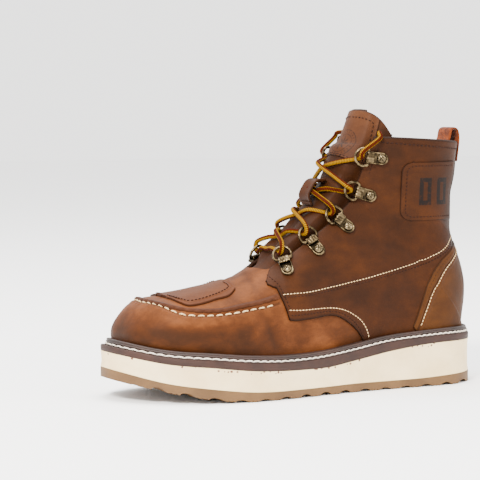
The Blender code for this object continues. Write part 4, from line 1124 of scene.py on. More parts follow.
# Backstay, up the back of the shaft
rows = np.linspace(21.0, 24.99, 110)
side_share = np.linspace(-1, 1, 41)
t = np.repeat(rows[:, None], 41, 1)
piece = leather_sheet("back_strip", t, np.abs(side_share)[None, :] * STAY_SHARE * np.ones_like(t),
                      np.where(side_share >= 0, 1, -1)[None, :] * np.ones_like(t, int),
                      LAID + 0.0006, LEATHER, [],
                      rolls=((1, True, 0.0008, 1.5, 0.0010), (1, False, 0.0008, 1.5, 0.0010),
                             (0, False, 0.0008, 1.5, 0.0010), (0, True, 0.0022, 3.0, 0.0)), tone=-0.03)
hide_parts("backstay")

# Pad on the vamp
ALL_ROUND = tuple((axis, at_end, 0.0009, 1.5, 0.0010)
                  for axis, at_end in ((1, True), (1, False), (0, False), (0, True)))
rows = np.concatenate([np.linspace(4.50, 4.7, 18), np.linspace(4.73, 6.9, 52),
                       np.linspace(6.93, 7.26, 16)])
across = np.linspace(-1, 1, 101)
reach = 1 - edge(PATCH_VAMP, rows)
t = np.repeat(rows[:, None], 101, 1)
v = reach[:, None] * across[None, :]
border = np.vstack([trace(PATCH_VAMP + ((7.28, 1.0),), side)[0] for side in (1, -1)])


def pillow(spots, tt, uu, ss):
    """A padded middle inside a sunk line of stitches."""
    d = nearest([border], spots)[0]
    return 0.55 * MM * np.clip(d / (6 * MM), 0, 1) ** 0.7 - 0.45 * MM * np.exp(
        -((d - 2.4 * MM) / (0.8 * MM)) ** 2)


piece = leather_sheet("vamp_pad", t, 1 - np.abs(v), np.where(v >= 0, 1, -1), LAID - 0.0002,
                      PATCH_LEATHER, rolls=ALL_ROUND, shape=pillow, tone=0.02)
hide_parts("vamp_patch")

# Raised seam round the toe
ridge_knots = MOC_RIDGE + ((8.60, 0.502),)
lat = trace(ridge_knots, 1)
med = trace(ridge_knots, -1)
path = np.vstack([lat[0][::-1], med[0][1:]])
outs = np.vstack([lat[1][::-1], med[1][1:]])
line, at = even(path, 0.6 * MM, outs)
path, outs = line[:, :3], line[:, 3:]
path[1:-1] = (path[:-2] + path[1:-1] * 2 + path[2:]) / 4
outs = unit(outs)
lower = np.cross(unit(np.gradient(path, axis=0)), outs)
centre = np.array([path[:, 0].mean(), 0, path[:, 2].mean()])
lower *= np.sign(np.einsum("ij,ij->i", lower, path - centre))[:, None]
angles = np.linspace(0, 1, 17)
profile_w = np.interp(angles, (0, 0.15, 0.3, 0.5, 0.8, 1.0), (2.3, 2.2, 1.7, 0.4, -1.7, -3.0))
profile_h = np.interp(angles, (0, 0.12, 0.3, 0.5, 0.8, 1.0), (-0.7, 0.7, 1.65, 1.9, 1.0, -0.5))
wave = 0.5 + 0.5 * np.cos(2 * np.pi * at / STITCH_PITCH)
high = profile_h[None, :] * (1 - 0.16 * wave[:, None] * (angles < 0.5)[None, :])
wide = profile_w[None, :] - 0.45 * wave[:, None] * (angles < 0.35)[None, :]
taper = np.clip(np.minimum(at, at[-1] - at) / (5 * MM), 0.25, 1)[:, None]
high = high + 0.12 * np.sin(at / (9 * MM) * 2 + 1)[:, None]
lift = high * taper * MM + fold_field(path, np.ones(len(path), int))[:, None]
grid = path[:, None] + lower[:, None] * (wide * MM)[..., None] + outs[:, None] * lift[..., None]
faces = oriented(grid, np.repeat(outs[:, None], 17, 1), grid_faces(*grid.shape[:2]))
# Painted shade: short seam distances at the ridge's two feet darken them where it meets the toe.
edge_shade_distance = np.repeat(np.interp(angles, (0, 0.15, 0.9, 1), (0.0002, 0.004, 0.004, 0.0006))[None, :],
                     len(path), 0)
ridge = own("moc_ridge", grid.reshape(-1, 3), faces, RIDGE_LEATHER,
            {"seam": edge_shade_distance, "fold": np.zeros(edge_shade_distance.size), "tone": np.full(edge_shade_distance.size, -0.02),
             "rim": np.zeros(edge_shade_distance.size)})
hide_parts("moc_seam")


# Patches on the shaft
def patch_coords(side):
    """Sections and shares of points on the shaft at places x, z seen from the side."""
    ts = np.linspace(18.5, 25, 330)
    us = np.linspace(0.0, 0.80, 140)
    tt, uu = np.meshgrid(ts, us, indexing="ij")
    p = on_last(tt, uu, np.full(tt.shape, side))
    front = 0.250 * SOLE_LENGTH + SHIFT[0]
    back = 0.088 * SOLE_LENGTH + SHIFT[0]
    low = 0.676 * COLLAR_HEIGHT
    high = 0.910 * COLLAR_HEIGHT
    corner = 0.026 * SOLE_LENGTH
    zs = low + (high - low) * (0.5 - 0.5 * np.cos(np.linspace(0, np.pi, 64))) * 0.35 + (
        high - low) * np.linspace(0, 1, 64) * 0.65
    rows_t, rows_u, rows_x = [], [], []
    for z in zs:
        xs = np.array([np.interp(z, p[:, j, 2], p[:, j, 0]) for j in range(len(us))])
        st = np.array([np.interp(z, p[:, j, 2], ts) for j in range(len(us))])
        near = max(low + corner - z, z - (high - corner), 0) / corner
        ahead_x = front - corner * (1 - math.sqrt(max(1 - near * near, 0)))
        x = np.linspace(back, ahead_x, 78)
        rows_u.append(np.interp(x, xs, us))
        rows_t.append(np.interp(x, xs, st))
        rows_x.append(x)
    return (np.array(rows_t), np.array(rows_u), np.array(rows_x),
            np.repeat(zs[:, None], 78, 1), (back, front, low, high))


def stamped(name, colours, kind):
    """Leather with a plain darker stamp drawn by its own measures."""
    n = Nodes(leather(name, *colours))
    before = n.shader.inputs["Base Color"].links[0].from_socket
    x, z = n.attr("px"), n.attr("pz")
    if kind == "bars":
        ink = None
        for cx, cz, wx, wz in ((-0.0075, 0.0, 0.0052, 0.0105), (0.0085, 0.0, 0.0052, 0.0105)):
            a = n.math("ABSOLUTE", n.less(x, cx))
            b = n.math("ABSOLUTE", n.less(z, cz))
            far = n.math("MAXIMUM", n.less(a, wx), n.less(b, wz))
            hole = n.math("MAXIMUM", n.less(a, wx - 0.0034),
                          n.less(b, wz - 0.0034))
            solid = n.band(n.math("MAXIMUM", far, n.mul(hole, -1.0)), 0.0002, -0.0002)
            ink = solid if ink is None else n.math("MAXIMUM", ink, solid)
        strength = 0.92
    else:
        r = n.math("SQRT", n.add(n.mul(x, x), n.mul(z, z)))
        ink = n.band(n.math("ABSOLUTE", n.less(r, 0.0118)), 0.0005, 0.0002)
        ring = n.band(n.math("ABSOLUTE", n.less(r, 0.0082)), 0.0004, 0.00015)
        a = n.math("ARCTAN2", z, x)
        star = n.add(0.0036, n.mul(n.math("COSINE", n.mul(a, 8.0)),
                                            0.0026))
        core = n.band(n.less(r, star), 0.0002, -0.0002)
        tick = n.math("COSINE", n.mul(a, 24.0))
        dots = n.mul(n.band(tick, 0.35, 0.6), n.band(
            n.math("ABSOLUTE", n.less(r, 0.0100)), 0.0009, 0.0006))
        ink = n.math("MAXIMUM", n.math("MAXIMUM", ink, ring), n.math("MAXIMUM", core, n.math(
            "MULTIPLY", dots, 0.7)))
        strength = 0.66
    worn = n.mul(ink, n.band(n.noise(500.0, 4.0, 0.6), 0.25, 0.5))
    tint = n.mix(n.mul(worn, strength), before, rgb(13, 10, 9))
    n.link(tint, n.shader.inputs["Base Color"])
    old = n.shader.inputs["Normal"].links[0].from_socket
    n.link(n.bump(ink, -0.35, 0.0004, old), n.shader.inputs["Normal"])
    return n.mat


BARS = stamped("side_patch_leather", (rgb(32, 14, 4), rgb(47, 22, 5), rgb(64, 32, 9)), "bars")
SEAL = stamped("tongue_cap_leather", (rgb(44, 23, 11), rgb(62, 34, 17), rgb(78, 46, 24)), "seal")

for side, flank in FLANKS:
    t, u, x, z, frame_box = patch_coords(side)
    back, front, low, high = frame_box
    mid_x = back + (front - back) * 0.46
    mid_z = (low + high) / 2
    piece = leather_sheet(
        "shaft_patch_" + flank, t, u, side, LAID + PANEL_GAP + 0.0006, BARS, rolls=ALL_ROUND,
        own_fields=lambda f, a, b, c: {"px": (x.ravel() - mid_x) * -1, "pz": z.ravel() - mid_z})
    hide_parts("side_patch_" + flank)

# Tongue
UNDER = -(WALL + 0.0007)


def tongue_top(across):
    """Section at which the tongue ends, rounded across."""
    return 25.98 - 0.10 * across ** 2 - 0.65 * across ** 3.2


def tongue_away(t, u):
    """Height of the tongue's face over the last: under the throat, swelling up between its edges."""
    free = throat(np.minimum(t, 25))
    rise = ramp((u - free - 0.012) / 0.07)
    swell = 0.0032 * np.clip((t - 8.8) / 0.6, 0, 1)
    lean = 0.0064 * np.clip((t - 22.0) / 1.5, 0, 1)
    spring = np.clip((u - 0.72) / 0.20, 0, 1)
    bend = 0.0092 * np.clip((t - 23.4) / 2.5, 0, None) ** 1.3
    flank = np.clip((0.99 - u) / 0.10, 0, 1) * np.clip((22.4 - t) / 1.5, 0, 1)
    swell = swell * (1 + 1.25 * ramp(flank))
    return UNDER - lean * (1 - spring) - bend * spring + swell * rise


def tongue_grid(rows, across, inside):
    """Sections, shares and sides of a grid on the tongue, ending inside its top."""
    a = np.abs(across)[None, :]
    t = np.minimum(rows[:, None], tongue_top(a) - inside)
    u = 1 - a * edge(TONGUE, t)
    side = np.where(across >= 0, 1, -1)[None, :] * np.ones_like(t, int)
    return t, u, side


rows = np.concatenate([np.linspace(7.85, 24.6, 150), np.linspace(24.65, 26.0, 44)])
across = np.linspace(-1, 1, 91)
t, u, side = tongue_grid(rows, across, 0.0)


def tongue_shape(spots, tt, uu, ss):
    """Soft swelling between the runs of the lace."""
    wave = 0.5 + 0.5 * np.cos(2 * np.pi * (tt - 9.9) / 2.05)
    inner = np.clip((uu - 0.80) / 0.10, 0, 1)
    return 0.35 * MM * wave * inner * np.clip((22 - tt) / 1.0, 0, 1)


tongue = leather_sheet("tongue_face", t, u, side, tongue_away(t, u) - 0.0001, LEATHER, [],
                       rolls=((1, True, 0.0014, 3.1, 0.0), (1, False, 0.0014, 3.1, 0.0),
                              (0, True, 0.0014, 3.1, 0.0)), shape=tongue_shape, tone=-0.07,
                       folds=0.5)
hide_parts("tongue")
lining("tongue_lining", t[::2, ::2], u[::2, ::2], side[::2, ::2],
       tongue_away(t, u)[::2, ::2] - 0.0029, "tongue")

rows = np.linspace(22.0, 25.98, 96)
across = np.linspace(-0.70, 0.70, 95)
t, u, side = tongue_grid(rows, across, 0.03)
SEAL_T, SEAL_U = 24.55, 0.965
cap_away = tongue_away(t, u) + PANEL_GAP + 0.0006
cap_flat = on_last(t, u, side, cap_away).reshape(-1, 3)
seal_at = on_last([SEAL_T], [SEAL_U], [1])[0]
seal_out = unit(facing([SEAL_T], [SEAL_U], [1])[0] + np.array([0, 0.1, 0]))
seal_side = unit(np.cross(np.array([0, 0, 1.0]), seal_out))
seal_up = np.cross(seal_out, seal_side)
flat = cap_flat - seal_at
cap = leather_sheet("tongue_head", t, u, side, cap_away, SEAL, [],
                    rolls=((1, True, 0.0009, 1.5, 0.0008), (1, False, 0.0009, 1.5, 0.0008),
                           (0, False, 0.0010, 1.5, 0.0008), (0, True, 0.0009, 1.5, 0.0010)),
                    folds=0.5, own_fields=lambda f, a, b, c: {"px": flat @ seal_side,
                                                              "pz": flat @ seal_up})
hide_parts("tongue_cap")


# Straps and round bars
def strap(name, path, wide, half, thick, mat, replaced, soft=0.0):
    """A flat strip along a path, rounded at its edges."""
    line = flow(path, 8)
    wide = np.asarray(wide, float)
    out = unit(np.cross(unit(np.gradient(line, axis=0)), wide))
    ring = []
    for k in range(20):
        a = 2 * np.pi * k / 20
        c, s = math.cos(a), math.sin(a)
        ring.append((math.copysign(abs(c) ** 0.25, c) * half, math.copysign(abs(s) ** 0.7, s) * thick / 2))
    grid = np.array([[p + wide * w + o * (d + soft * (w / half) ** 2) for w, d in ring]
                     for p, o in zip(line, out)])
    faces = grid_faces(len(line), 20, loop_cols=True).tolist()
    caps = [list(range(20)), [len(line) * 20 - 20 + k for k in range(19, -1, -1)]]
    flat = grid.reshape(-1, 3)
    rim = np.tile([1.0 if abs(w) > half * 0.97 else 0.0 for w, d in ring], len(line))
    fields = {"seam": np.full(len(flat), 0.02), "fold": np.zeros(len(flat)),
              "tone": np.zeros(len(flat)), "rim": rim * 0.6}
    made = own(name, flat, faces + caps, mat, fields)
    outward(made, 60)
    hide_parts(replaced)
    return made


back_x, back_z = section(ROW["collar"])[:2]
low = [section(v)[:2] for v in (24.45, 24.7)]
back_x += TRIM_BACK
low = [(x + TRIM_BACK, z) for x, z in low]
reach = LAID + 0.0007 + CLEARANCE
path = [(x - reach, 0, z) for x, z in low] + [
    (back_x - reach, 0, back_z), (back_x - 0.0030, 0, back_z + 0.0060),
    (back_x - 0.0016, 0, back_z + 0.0108), (back_x + 0.0014, 0, back_z + 0.0122),
    (back_x + 0.0040, 0, back_z + 0.0104), (back_x + 0.0052, 0, back_z + 0.0050),
    (back_x + WALL + 0.0048, 0, back_z - 0.0010), (low[1][0] + WALL + 0.0048, 0, low[1][1] - 0.0010)]
path = np.array(path) + SHIFT
strap("heel_loop", path, (0, 1, 0), 0.0097, 0.0017, SUEDE_MAT, "pull_loop")


def bar(name, path, radius, mat, closed=False, sides=14):
    """A round bar along a path, with how far round and along kept on its points."""
    path = np.asarray(path, float)
    n = len(path)
    ahead = np.roll(path, -1, 0) - np.roll(path, 1, 0)
    if not closed:
        ahead[0], ahead[-1] = path[1] - path[0], path[-1] - path[-2]
    ahead = unit(ahead)
    up = np.cross(ahead[0], (0.31, 0.52, 0.80))
    ups = []
    for a in ahead:
        up = unit(up - a * (up @ a))
        ups.append(up)
    ups = np.array(ups)
    outs = np.cross(ahead, ups)
    a = np.linspace(0, 2 * np.pi, sides, endpoint=False)
    radius = np.broadcast_to(np.asarray(radius, float), n)
    grid = path[:, None] + radius[:, None, None] * (ups[:, None] * np.cos(a)[None, :, None]
                                                    + outs[:, None] * np.sin(a)[None, :, None])
    faces = grid_faces(n, sides, loop_rows=closed, loop_cols=True)[:, ::-1].tolist()
    if not closed:
        faces += [list(range(sides)), [(n - 1) * sides + k for k in range(sides - 1, -1, -1)]]
    fields = {"cs": np.tile(np.cos(a), n), "sn": np.tile(np.sin(a), n),
              "run": np.repeat(run_of(path), sides), "rim": np.zeros(n * sides)}
    return own(name, grid.reshape(-1, 3), faces, mat, fields)


# Rings and their plates
FOLD = RING_WIRE / 2 + 0.0004
BAR_HEIGHT = SHEET + FOLD
RING_DEPTH = 0.0098
RING_TILT = math.radians(14)


def frame_at(row, side):
    """Where a ring's plate folds, with its ways ahead, across and out."""
    t, u, rivet_t, rivet_u = row[1:]
    place = on_last([t], [u], [side])[0]
    out = facing([t], [u], [side])[0]
    ahead = place - on_last([rivet_t], [rivet_u], [side])[0]
    ahead = unit(ahead - out * (ahead @ out))
    return place + out * (LAID + CLEARANCE), ahead, np.cross(out, ahead), out


def spot_at(hook_frame, x, y, z):
    """A place in a plate's own measures."""
    base, ahead, across, out = hook_frame
    return base + ahead * x + across * y + out * z


def rounded_plate(name, hf, mat):
    """A plate with a round end and a raised rim, folded over the ring's straight bar."""
    half = PLATE_WIDTH / 2 + 0.0004
    length = PLATE_LENGTH - half
    verts, rim = [], []
    steps = 28
    contour = [(0.0004, -half), (0.0004, half)]
    for k in range(steps + 1):
        a = math.pi / 2 + math.pi * k / steps
        contour.append((-length + half * math.cos(a), half * math.sin(a)))
    levels = ((0.0, 0.0, 0.2), (0.0, 0.0008, 0.3), (0.0003, 0.00125, 0.0), (0.0008, 0.0013, 0.0),
              (0.0012, 0.0010, 1.0), (0.0016, 0.00085, 0.75))
    cx = -length * 0.5
    for inset, z, dark in levels:
        for x, y in contour:
            sx = 1 - inset / (length + half) * 2
            sy = 1 - inset / half
            verts.append(spot_at(hf, cx + (x - cx) * sx, y * sy, z))
            rim.append(dark)
    m = len(contour)
    faces = grid_faces(len(levels), m, loop_cols=True)[:, ::-1].tolist()
    faces.append([(len(levels) - 1) * m + k for k in range(m)])
    faces.append([m - 1 - k for k in range(m)])
    # the fold: a curled sheet round the bar, with three fine ribs
    start = len(verts)
    turn = []
    outer = FOLD + SHEET + 0.0001
    for k in range(15):
        a = -math.pi / 2 + math.pi * k / 14
        turn.append((outer * math.cos(a), outer * math.sin(a)))
    turn = [(-0.0030, -outer)] + turn + [(-0.0040, outer), (-0.0045, outer - 0.0003),
                                         (-0.0046, outer - 0.0012)]
    ys = np.linspace(-PLATE_WIDTH / 2, PLATE_WIDTH / 2, 25)
    for y in ys:
        groove = 0.00016 * (0.5 - 0.5 * math.cos(2 * math.pi * (y / PLATE_WIDTH + 0.5) * 4))
        edge_in = 0.0004 if abs(y) > PLATE_WIDTH / 2 - 1e-6 else 0.0
        for x, z in turn:
            s = (outer - groove - edge_in) / outer
            verts.append(spot_at(hf, x * (s if x > 0 else 1), y, z * s + BAR_HEIGHT))
            rim.append(0.9 if edge_in else groove / 0.00016 * 0.4)
    m2 = len(turn)
    faces += (grid_faces(len(ys), m2) + start).tolist()
    for a in (0, 24):
        faces.append([start + a * m2 + k for k in range(m2)][::1 if a else -1])
    made = own(name, verts, faces, mat, {"rim": rim})
    made.data.set_sharp_from_angle(angle=math.radians(50))
    return made


def cross_rivet(name, hf, mat):
    """A domed head with a cross slot, standing on the plate."""
    centre = -PLATE_LENGTH * 0.66
    base = 0.0009
    verts, rim = [], []
    radii = (0.0034, 0.0034, 0.0031, 0.0025, 0.0019, 0.0013, 0.0007, 0.0002)
    highs = (-0.0004, 0.0010, 0.0016, 0.0021, 0.0024, 0.0026, 0.0027, 0.00272)
    around = 40
    for r, z in zip(radii, highs):
        for k in range(around):
            a = 2 * math.pi * k / around
            x, y = r * math.cos(a), r * math.sin(a)
            slot_deep = max(0.0, 1 - min(abs(x + y), abs(x - y)) / 0.0006) * (r < 0.0027)
            verts.append(spot_at(hf, centre + x, y, base + z - 0.0007 * slot_deep))
            rim.append(min(1.0, slot_deep * 1.2) if r < 0.0033 else 0.5)
    faces = grid_faces(len(radii), around, loop_cols=True)[:, ::-1].tolist()
    faces.append([(len(radii) - 1) * around + k for k in range(around)])
    return own(name, verts, faces, mat, {"rim": rim})


def ring_points(hf):
    """A D-shaped ring, its straight bar in the plate's fold."""
    half = RING_WIDTH / 2
    flat = [(0, -half * 0.73), (0, 0), (0, half * 0.73), (0.0012, half * 0.93), (0.0030, half * 1.0)]
    for angle in (66, 44, 22, 0, -22, -44, -66):
        a = math.radians(angle)
        flat.append((RING_DEPTH - half + half * math.cos(a) + 0.0004, half * math.sin(a)))
    flat += [(0.0030, -half * 1.0), (0.0012, -half * 0.93)]
    pts = [spot_at(hf, x * math.cos(RING_TILT), y, BAR_HEIGHT + x * math.sin(RING_TILT)) for x, y in flat]
    return flow(pts + pts[:3], 8)[8:8 + 8 * len(pts)]


HOOKS = {}
for side, flank in FLANKS:
    for row in LOOPS:
        hf = frame_at(row, side)
        tag = row[0] + "_" + flank
        for kind, maker, mat in (("plate", rounded_plate, METAL_MAT),
                                 ("rivet", cross_rivet, RIVET_MAT)):
            made = maker("fine_" + kind + "_" + tag, hf, mat)
            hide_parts(kind + "_" + tag)
        made = bar("fine_ring_" + tag, ring_points(hf), RING_WIRE / 2, METAL_MAT, closed=True, sides=12)
        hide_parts("ring_" + tag)
        HOOKS[row[0], side] = hf

# Lace
LACE_RADIUS = LACE_DIAMETER / 2
TURN = (RING_WIRE / 2 + 1.5 * CLEARANCE + LACE_RADIUS) / math.cos(math.radians(22.5))
NAMES = [row[0] for row in LOOPS]
STEP_OVER = LACE_DIAMETER + 2 * CLEARANCE
ft, fu = np.meshgrid(np.linspace(8.7, 24.8, 120), np.linspace(0.86, 1.0, 16), indexing="ij")
FACE_P, FACE_N = [], []
for side in (1, -1):
    n = facing(ft, fu, np.full(ft.shape, side)).reshape(-1, 3)
    p = on_last(ft, fu, np.full(ft.shape, side)).reshape(-1, 3)
    FACE_P.append(p + n * tongue_away(ft, fu).reshape(-1, 1))
    FACE_N.append(n)
FACE_P, FACE_N = np.vstack(FACE_P), np.vstack(FACE_N)


def face_at(place):
    """The tongue's face nearest a place, and its way out."""
    k = np.argmin(((FACE_P - place) ** 2).sum(1))
    return FACE_P[k], FACE_N[k]


def lifted(place, height):
    """A place kept at least a height over the tongue's face."""
    spot, out = face_at(place)
    short = height - (place - spot) @ out
    return place + out * short if short > 0 else place


def hook(name, side):
    """The lace's way through a ring, with its ways up and out and the ring's far end."""
    hf = HOOKS[name, side]
    ahead, across, out = hf[1:]
    rise = across if across[2] > 0 else -across
    far = spot_at(hf, RING_DEPTH * math.cos(RING_TILT), 0, BAR_HEIGHT + RING_DEPTH * math.sin(RING_TILT))
    low = far - out * TURN + ahead * 0.0015 - rise * 0.0024
    inner = far - (out + ahead) * (TURN * 0.7071) - rise * 0.0013
    hole = far - ahead * TURN
    over = far + (out - ahead) * (TURN * 0.7071) + rise * 0.0013
    high = far + out * TURN + ahead * 0.0015 + rise * 0.0024
    return [low, inner, hole, over, high], rise, out, far


def crossing(low_name, high_name, level):
    """Where two strands cross over the tongue, on the lower or the upper level."""
    bars = [hook(name, side)[3] for name in (low_name, high_name) for side in (1, -1)]
    middle = sum(bars) / 4
    middle[1] = SHIFT[1]
    spot, out = face_at(middle)
    spot = np.array([spot[0], SHIFT[1], spot[2]])
    out = np.array([out[0], 0, out[2]]) / np.hypot(out[0], out[2])
    return spot + out * (CLEARANCE * 2 + LACE_RADIUS + level * STEP_OVER), out


def leg(start, end):
    """The middle of a strand's straight run, clear of the tongue."""
    return lifted((start + end) / 2, LACE_RADIUS + 3 * CLEARANCE)


def strand(first):
    """One half of the lace, from the bottom ring on its first side to the top."""
    path = []
    side = first
    order = NAMES[::-1]
    for k, name in enumerate(order):
        points = hook(name, side)[0]
        if name == NAMES[0]:
            path += points[:3]
            break
        level = (k + (first > 0)) % 2
        middle = crossing(name, order[k + 1], level)[0]
        after = hook(order[k + 1], -side)[0][0]
        path += points + [leg(points[-1], middle), middle, leg(middle, after)]
        side = -side
    return path, side


ways, ends = {}, {}
for first in (1, -1):
    path, side = strand(first)
    ways[first] = path
    ends[side] = path[-1]
a, b = ways[-1][0], ways[1][0]
between = [lifted(a + (b - a) * s, LACE_RADIUS + 2 * CLEARANCE) for s in (0.25, 0.5, 0.75)]
whole = flow(ways[-1][::-1] + between + ways[1], 14)
whole = even(whole, 0.9 * MM)[0]
lace = bar("woven_lace", whole, LACE_RADIUS * 0.80, CORD_MAT)
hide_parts("lace")
for side, flank in FLANKS:
    points, rise = hook("top", side)[:2]
    way = unit(points[2] - points[1])
    start = ends[side] + way * 2 * CLEARANCE
    rim_p = on_last([24.97], [0.735], [side])[0]
    rim_n = facing([24.9], [0.735], [side])[0]
    up = np.array([0, 0, 1.0])
    path = [start, start + way * 0.0016, start + way * 0.0040 + rise * 0.0030,
            rim_p + rim_n * (LAID + 0.0048) + up * 0.0005, rim_p + rim_n * (LAID + 0.0020) + up * 0.0044,
            rim_p - rim_n * 0.0022 + up * 0.0050, rim_p - rim_n * 0.0052 + up * 0.0026,
            rim_p - rim_n * 0.0060 - up * 0.0040, rim_p - rim_n * 0.0060 - up * 0.0110]
    line, run = even(flow(path, 12), 0.7 * MM)
    piece = bar("lace_tail_" + flank, line, LACE_RADIUS * 0.80, CORD_MAT)
    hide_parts("lace_end_" + flank)

centre, out = crossing("middle", "upper", 0)
centre = centre - out * (CLEARANCE * 2 + LACE_RADIUS)
along = np.cross((0, 1, 0), out)
along = along if along[2] > 0 else -along
top = 0.0078
foot = PANEL_GAP + 0.0007
path = []
half_arch = ((0.0112, foot - 0.0006), (0.0096, foot + 0.0016), (0.0078, top * 0.74), (0.0050, top))
arch = [(-reach, high) for reach, high in half_arch] + [(0.0, top + 0.0004), *half_arch[::-1]]
for reach, high in arch:
    place = centre + along * reach
    path.append(lifted(place - out * 0.004, high) if abs(reach) > 0.009 else place + out * high)
strap("keeper_strap", path, (0, 1, 0), 0.0082, 0.0022, LEATHER, "lace_keeper",
      soft=-0.0012)

# Sole
SHARES = 0.5 - 0.5 * np.cos(np.pi * np.linspace(0, 1, 420))
LONG = np.unique(np.concatenate([SHARES[:60], np.linspace(SHARES[60], SHARES[-60], 600),
                                 SHARES[-60:]]))


def loop_points(inset, extra):
    """The sole's outline as one closed loop, up the outer side and back down the inner one."""
    back = WELT_LIP_HEEL * inset + extra
    front = SOLE_LENGTH - WELT_LIP_TOE * inset - extra
    x = back + LONG * (front - back)
    lat = np.stack([x, plan(x, 1, inset, extra)], 1)
    med = np.stack([x, plan(x, -1, inset, extra)], 1)[::-1]
    return np.vstack([lat, med[1:-1]])


def solid_band(name, rings, mat, replaced, fields=None, under=None):
    """The side of a layer of the sole, closed above and below."""
    loops = []
    for inset, extra, height in rings:
        xy = loop_points(inset, extra)
        z = height(xy[:, 0], xy[:, 1])
        loops.append(np.column_stack([xy, z]) + SHIFT)
    grid = np.array(loops)
    m = grid.shape[1]
    faces = grid_faces(len(loops), m, loop_cols=True).tolist()
    verts = list(grid.reshape(-1, 3))
    half = len(LONG)
    for ring, height, flip in ((0, rings[0][2], True), (len(rings) - 1, rings[-1][2], False)):
        cells = 26 if ring == 0 and under else 6
        inner = []
        for i in range(half):
            a = grid[ring][i] - SHIFT
            b = grid[ring][(m - i) % m] - SHIFT
            row = [ring * m + i]
            for k in range(1, cells):
                s = k / cells
                x = a[0]
                y = a[1] + (b[1] - a[1]) * s
                row.append(len(verts))
                z = under(x, y) if ring == 0 and under else height(np.array([x]), np.array([y]))[0]
                verts.append(np.array([x, y, float(z)]) + SHIFT)
            row.append(ring * m + (m - i) % m)
            inner.append(row)
        for a, b in zip(inner, inner[1:]):
            for k in range(cells):
                f = [a[k], a[k + 1], b[k + 1], b[k]]
                f = [v for n, v in enumerate(f) if v not in f[:n]]
                if len(f) > 2:
                    faces.append(f if flip else f[::-1])
    attrs = {"top": np.full(len(verts), 0.02)}
    if fields:
        attrs["top"][: grid.shape[0] * m] = fields(grid).ravel()
    made = own(name, verts, faces, mat, attrs)
    outward(made, 38, weld=0.01 * MM)
    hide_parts(replaced)
    return made


def lug_depth(x, y):
    """Depth of the tread: broad notches, with fine teeth between them."""
    start = 0.055 * SOLE_LENGTH + TREAD_GAP / 2
    phase = (x - start + 0.0016 * np.sin(y / 0.009)) / TREAD_PITCH
    away = np.abs(phase - np.round(phase)) * TREAD_PITCH
    inside = np.clip((x - 0.012) / 0.004, 0, 1) * np.clip((SOLE_LENGTH - 0.010 - x) / 0.004, 0, 1)
    notch = 0.0025 * np.clip(1 - (away / 0.0050) ** 2, 0, 1) ** 0.5
    teeth = 0.0009 * np.clip(np.sin(2 * np.pi * x / 0.0031 + y / 0.004), 0, 1)
    uneven = 0.8 + 0.2 * np.sin(x / 0.0217 + 1.0)
    return np.maximum(notch * uneven, teeth) * inside


solid_band("tread_sole", (
    (0, 0.0, lambda x, y: ground(x) + lug_depth(x, y)),
    (0, 0.0, lambda x, y: ground(x) + 0.0031),
    (0, 0.0, lambda x, y: (ground(x) + layer(x, 1)) / 2),
    (0, 0.0, lambda x, y: layer(x, 1) - 0.0002),
    (0, 0.0003, lambda x, y: layer(x, 1)),
), GUM_MAT, "outsole", under=lambda x, y: float(ground(x) + lug_depth(x, y)))
solid_band("foam_wedge", (
    (0, 0.0003, lambda x, y: layer(x, 1) + 0.0001),
    (0, 0.0001, lambda x, y: layer(x, 1) + 0.0004),
    (0, 0.0006, lambda x, y: layer(x, 1) + 0.0030),
    (0, 0.0007, lambda x, y: layer(x, 1) * 0.7 + layer(x, 2) * 0.3),
    (0, 0.0008, lambda x, y: (layer(x, 1) + layer(x, 2)) / 2),
    (0, 0.0007, lambda x, y: layer(x, 2) - 0.0062),
    (0, 0.0006, lambda x, y: layer(x, 2) - 0.0042),
    (0, 0.0004, lambda x, y: layer(x, 2) - 0.0022),
    (0, 0.0001, lambda x, y: layer(x, 2) - 0.0003),
    (0, 0.0003, lambda x, y: layer(x, 2)),
), FOAM_MAT, "wedge_midsole",
    fields=lambda g: np.array([layer(row[:, 0] - SHIFT[0], 2) - row[:, 2] for row in g]))
solid_band("brown_strip", (
    (0, 0.0004, lambda x, y: layer(x, 2) + 0.0001),
    (0, 0.0001, lambda x, y: layer(x, 2) + 0.0005),
    (0, 0.0, lambda x, y: (layer(x, 2) + layer(x, 3)) / 2),
    (0, 0.0001, lambda x, y: layer(x, 3) - 0.0009),
    (0, 0.0006, lambda x, y: layer(x, 3) - 0.0002),
    (0, 0.0012, lambda x, y: layer(x, 3)),
), STRIP_MAT, "midsole_strip")
solid_band("footbed", (
    (1.0, WALL + 0.0016, lambda x, y: layer(x, 3) + 0.0004),
    (1.0, WALL + 0.0010, lambda x, y: layer(x, 3) + 0.0030),
    (1.0, WALL + 0.0022, lambda x, y: layer(x, 3) + 0.0041),
), FOOTBED_MAT, "insole")

def at_ends(share):
    """Nothing along the sole, rising to 1 at the toe and at the heel."""
    return np.clip((share - 0.88) / 0.12, 0, 1) ** 2 + np.clip((0.07 - share) / 0.07, 0, 1) ** 2


# Welt, from the upper's foot out to its ribbed edge
out_xy = loop_points(0.06, 0.0)
share = out_xy[:, 0] / SOLE_LENGTH
out_xy = out_xy + (loop_points(0.46, 0.0) - out_xy) * at_ends(share)[:, None]

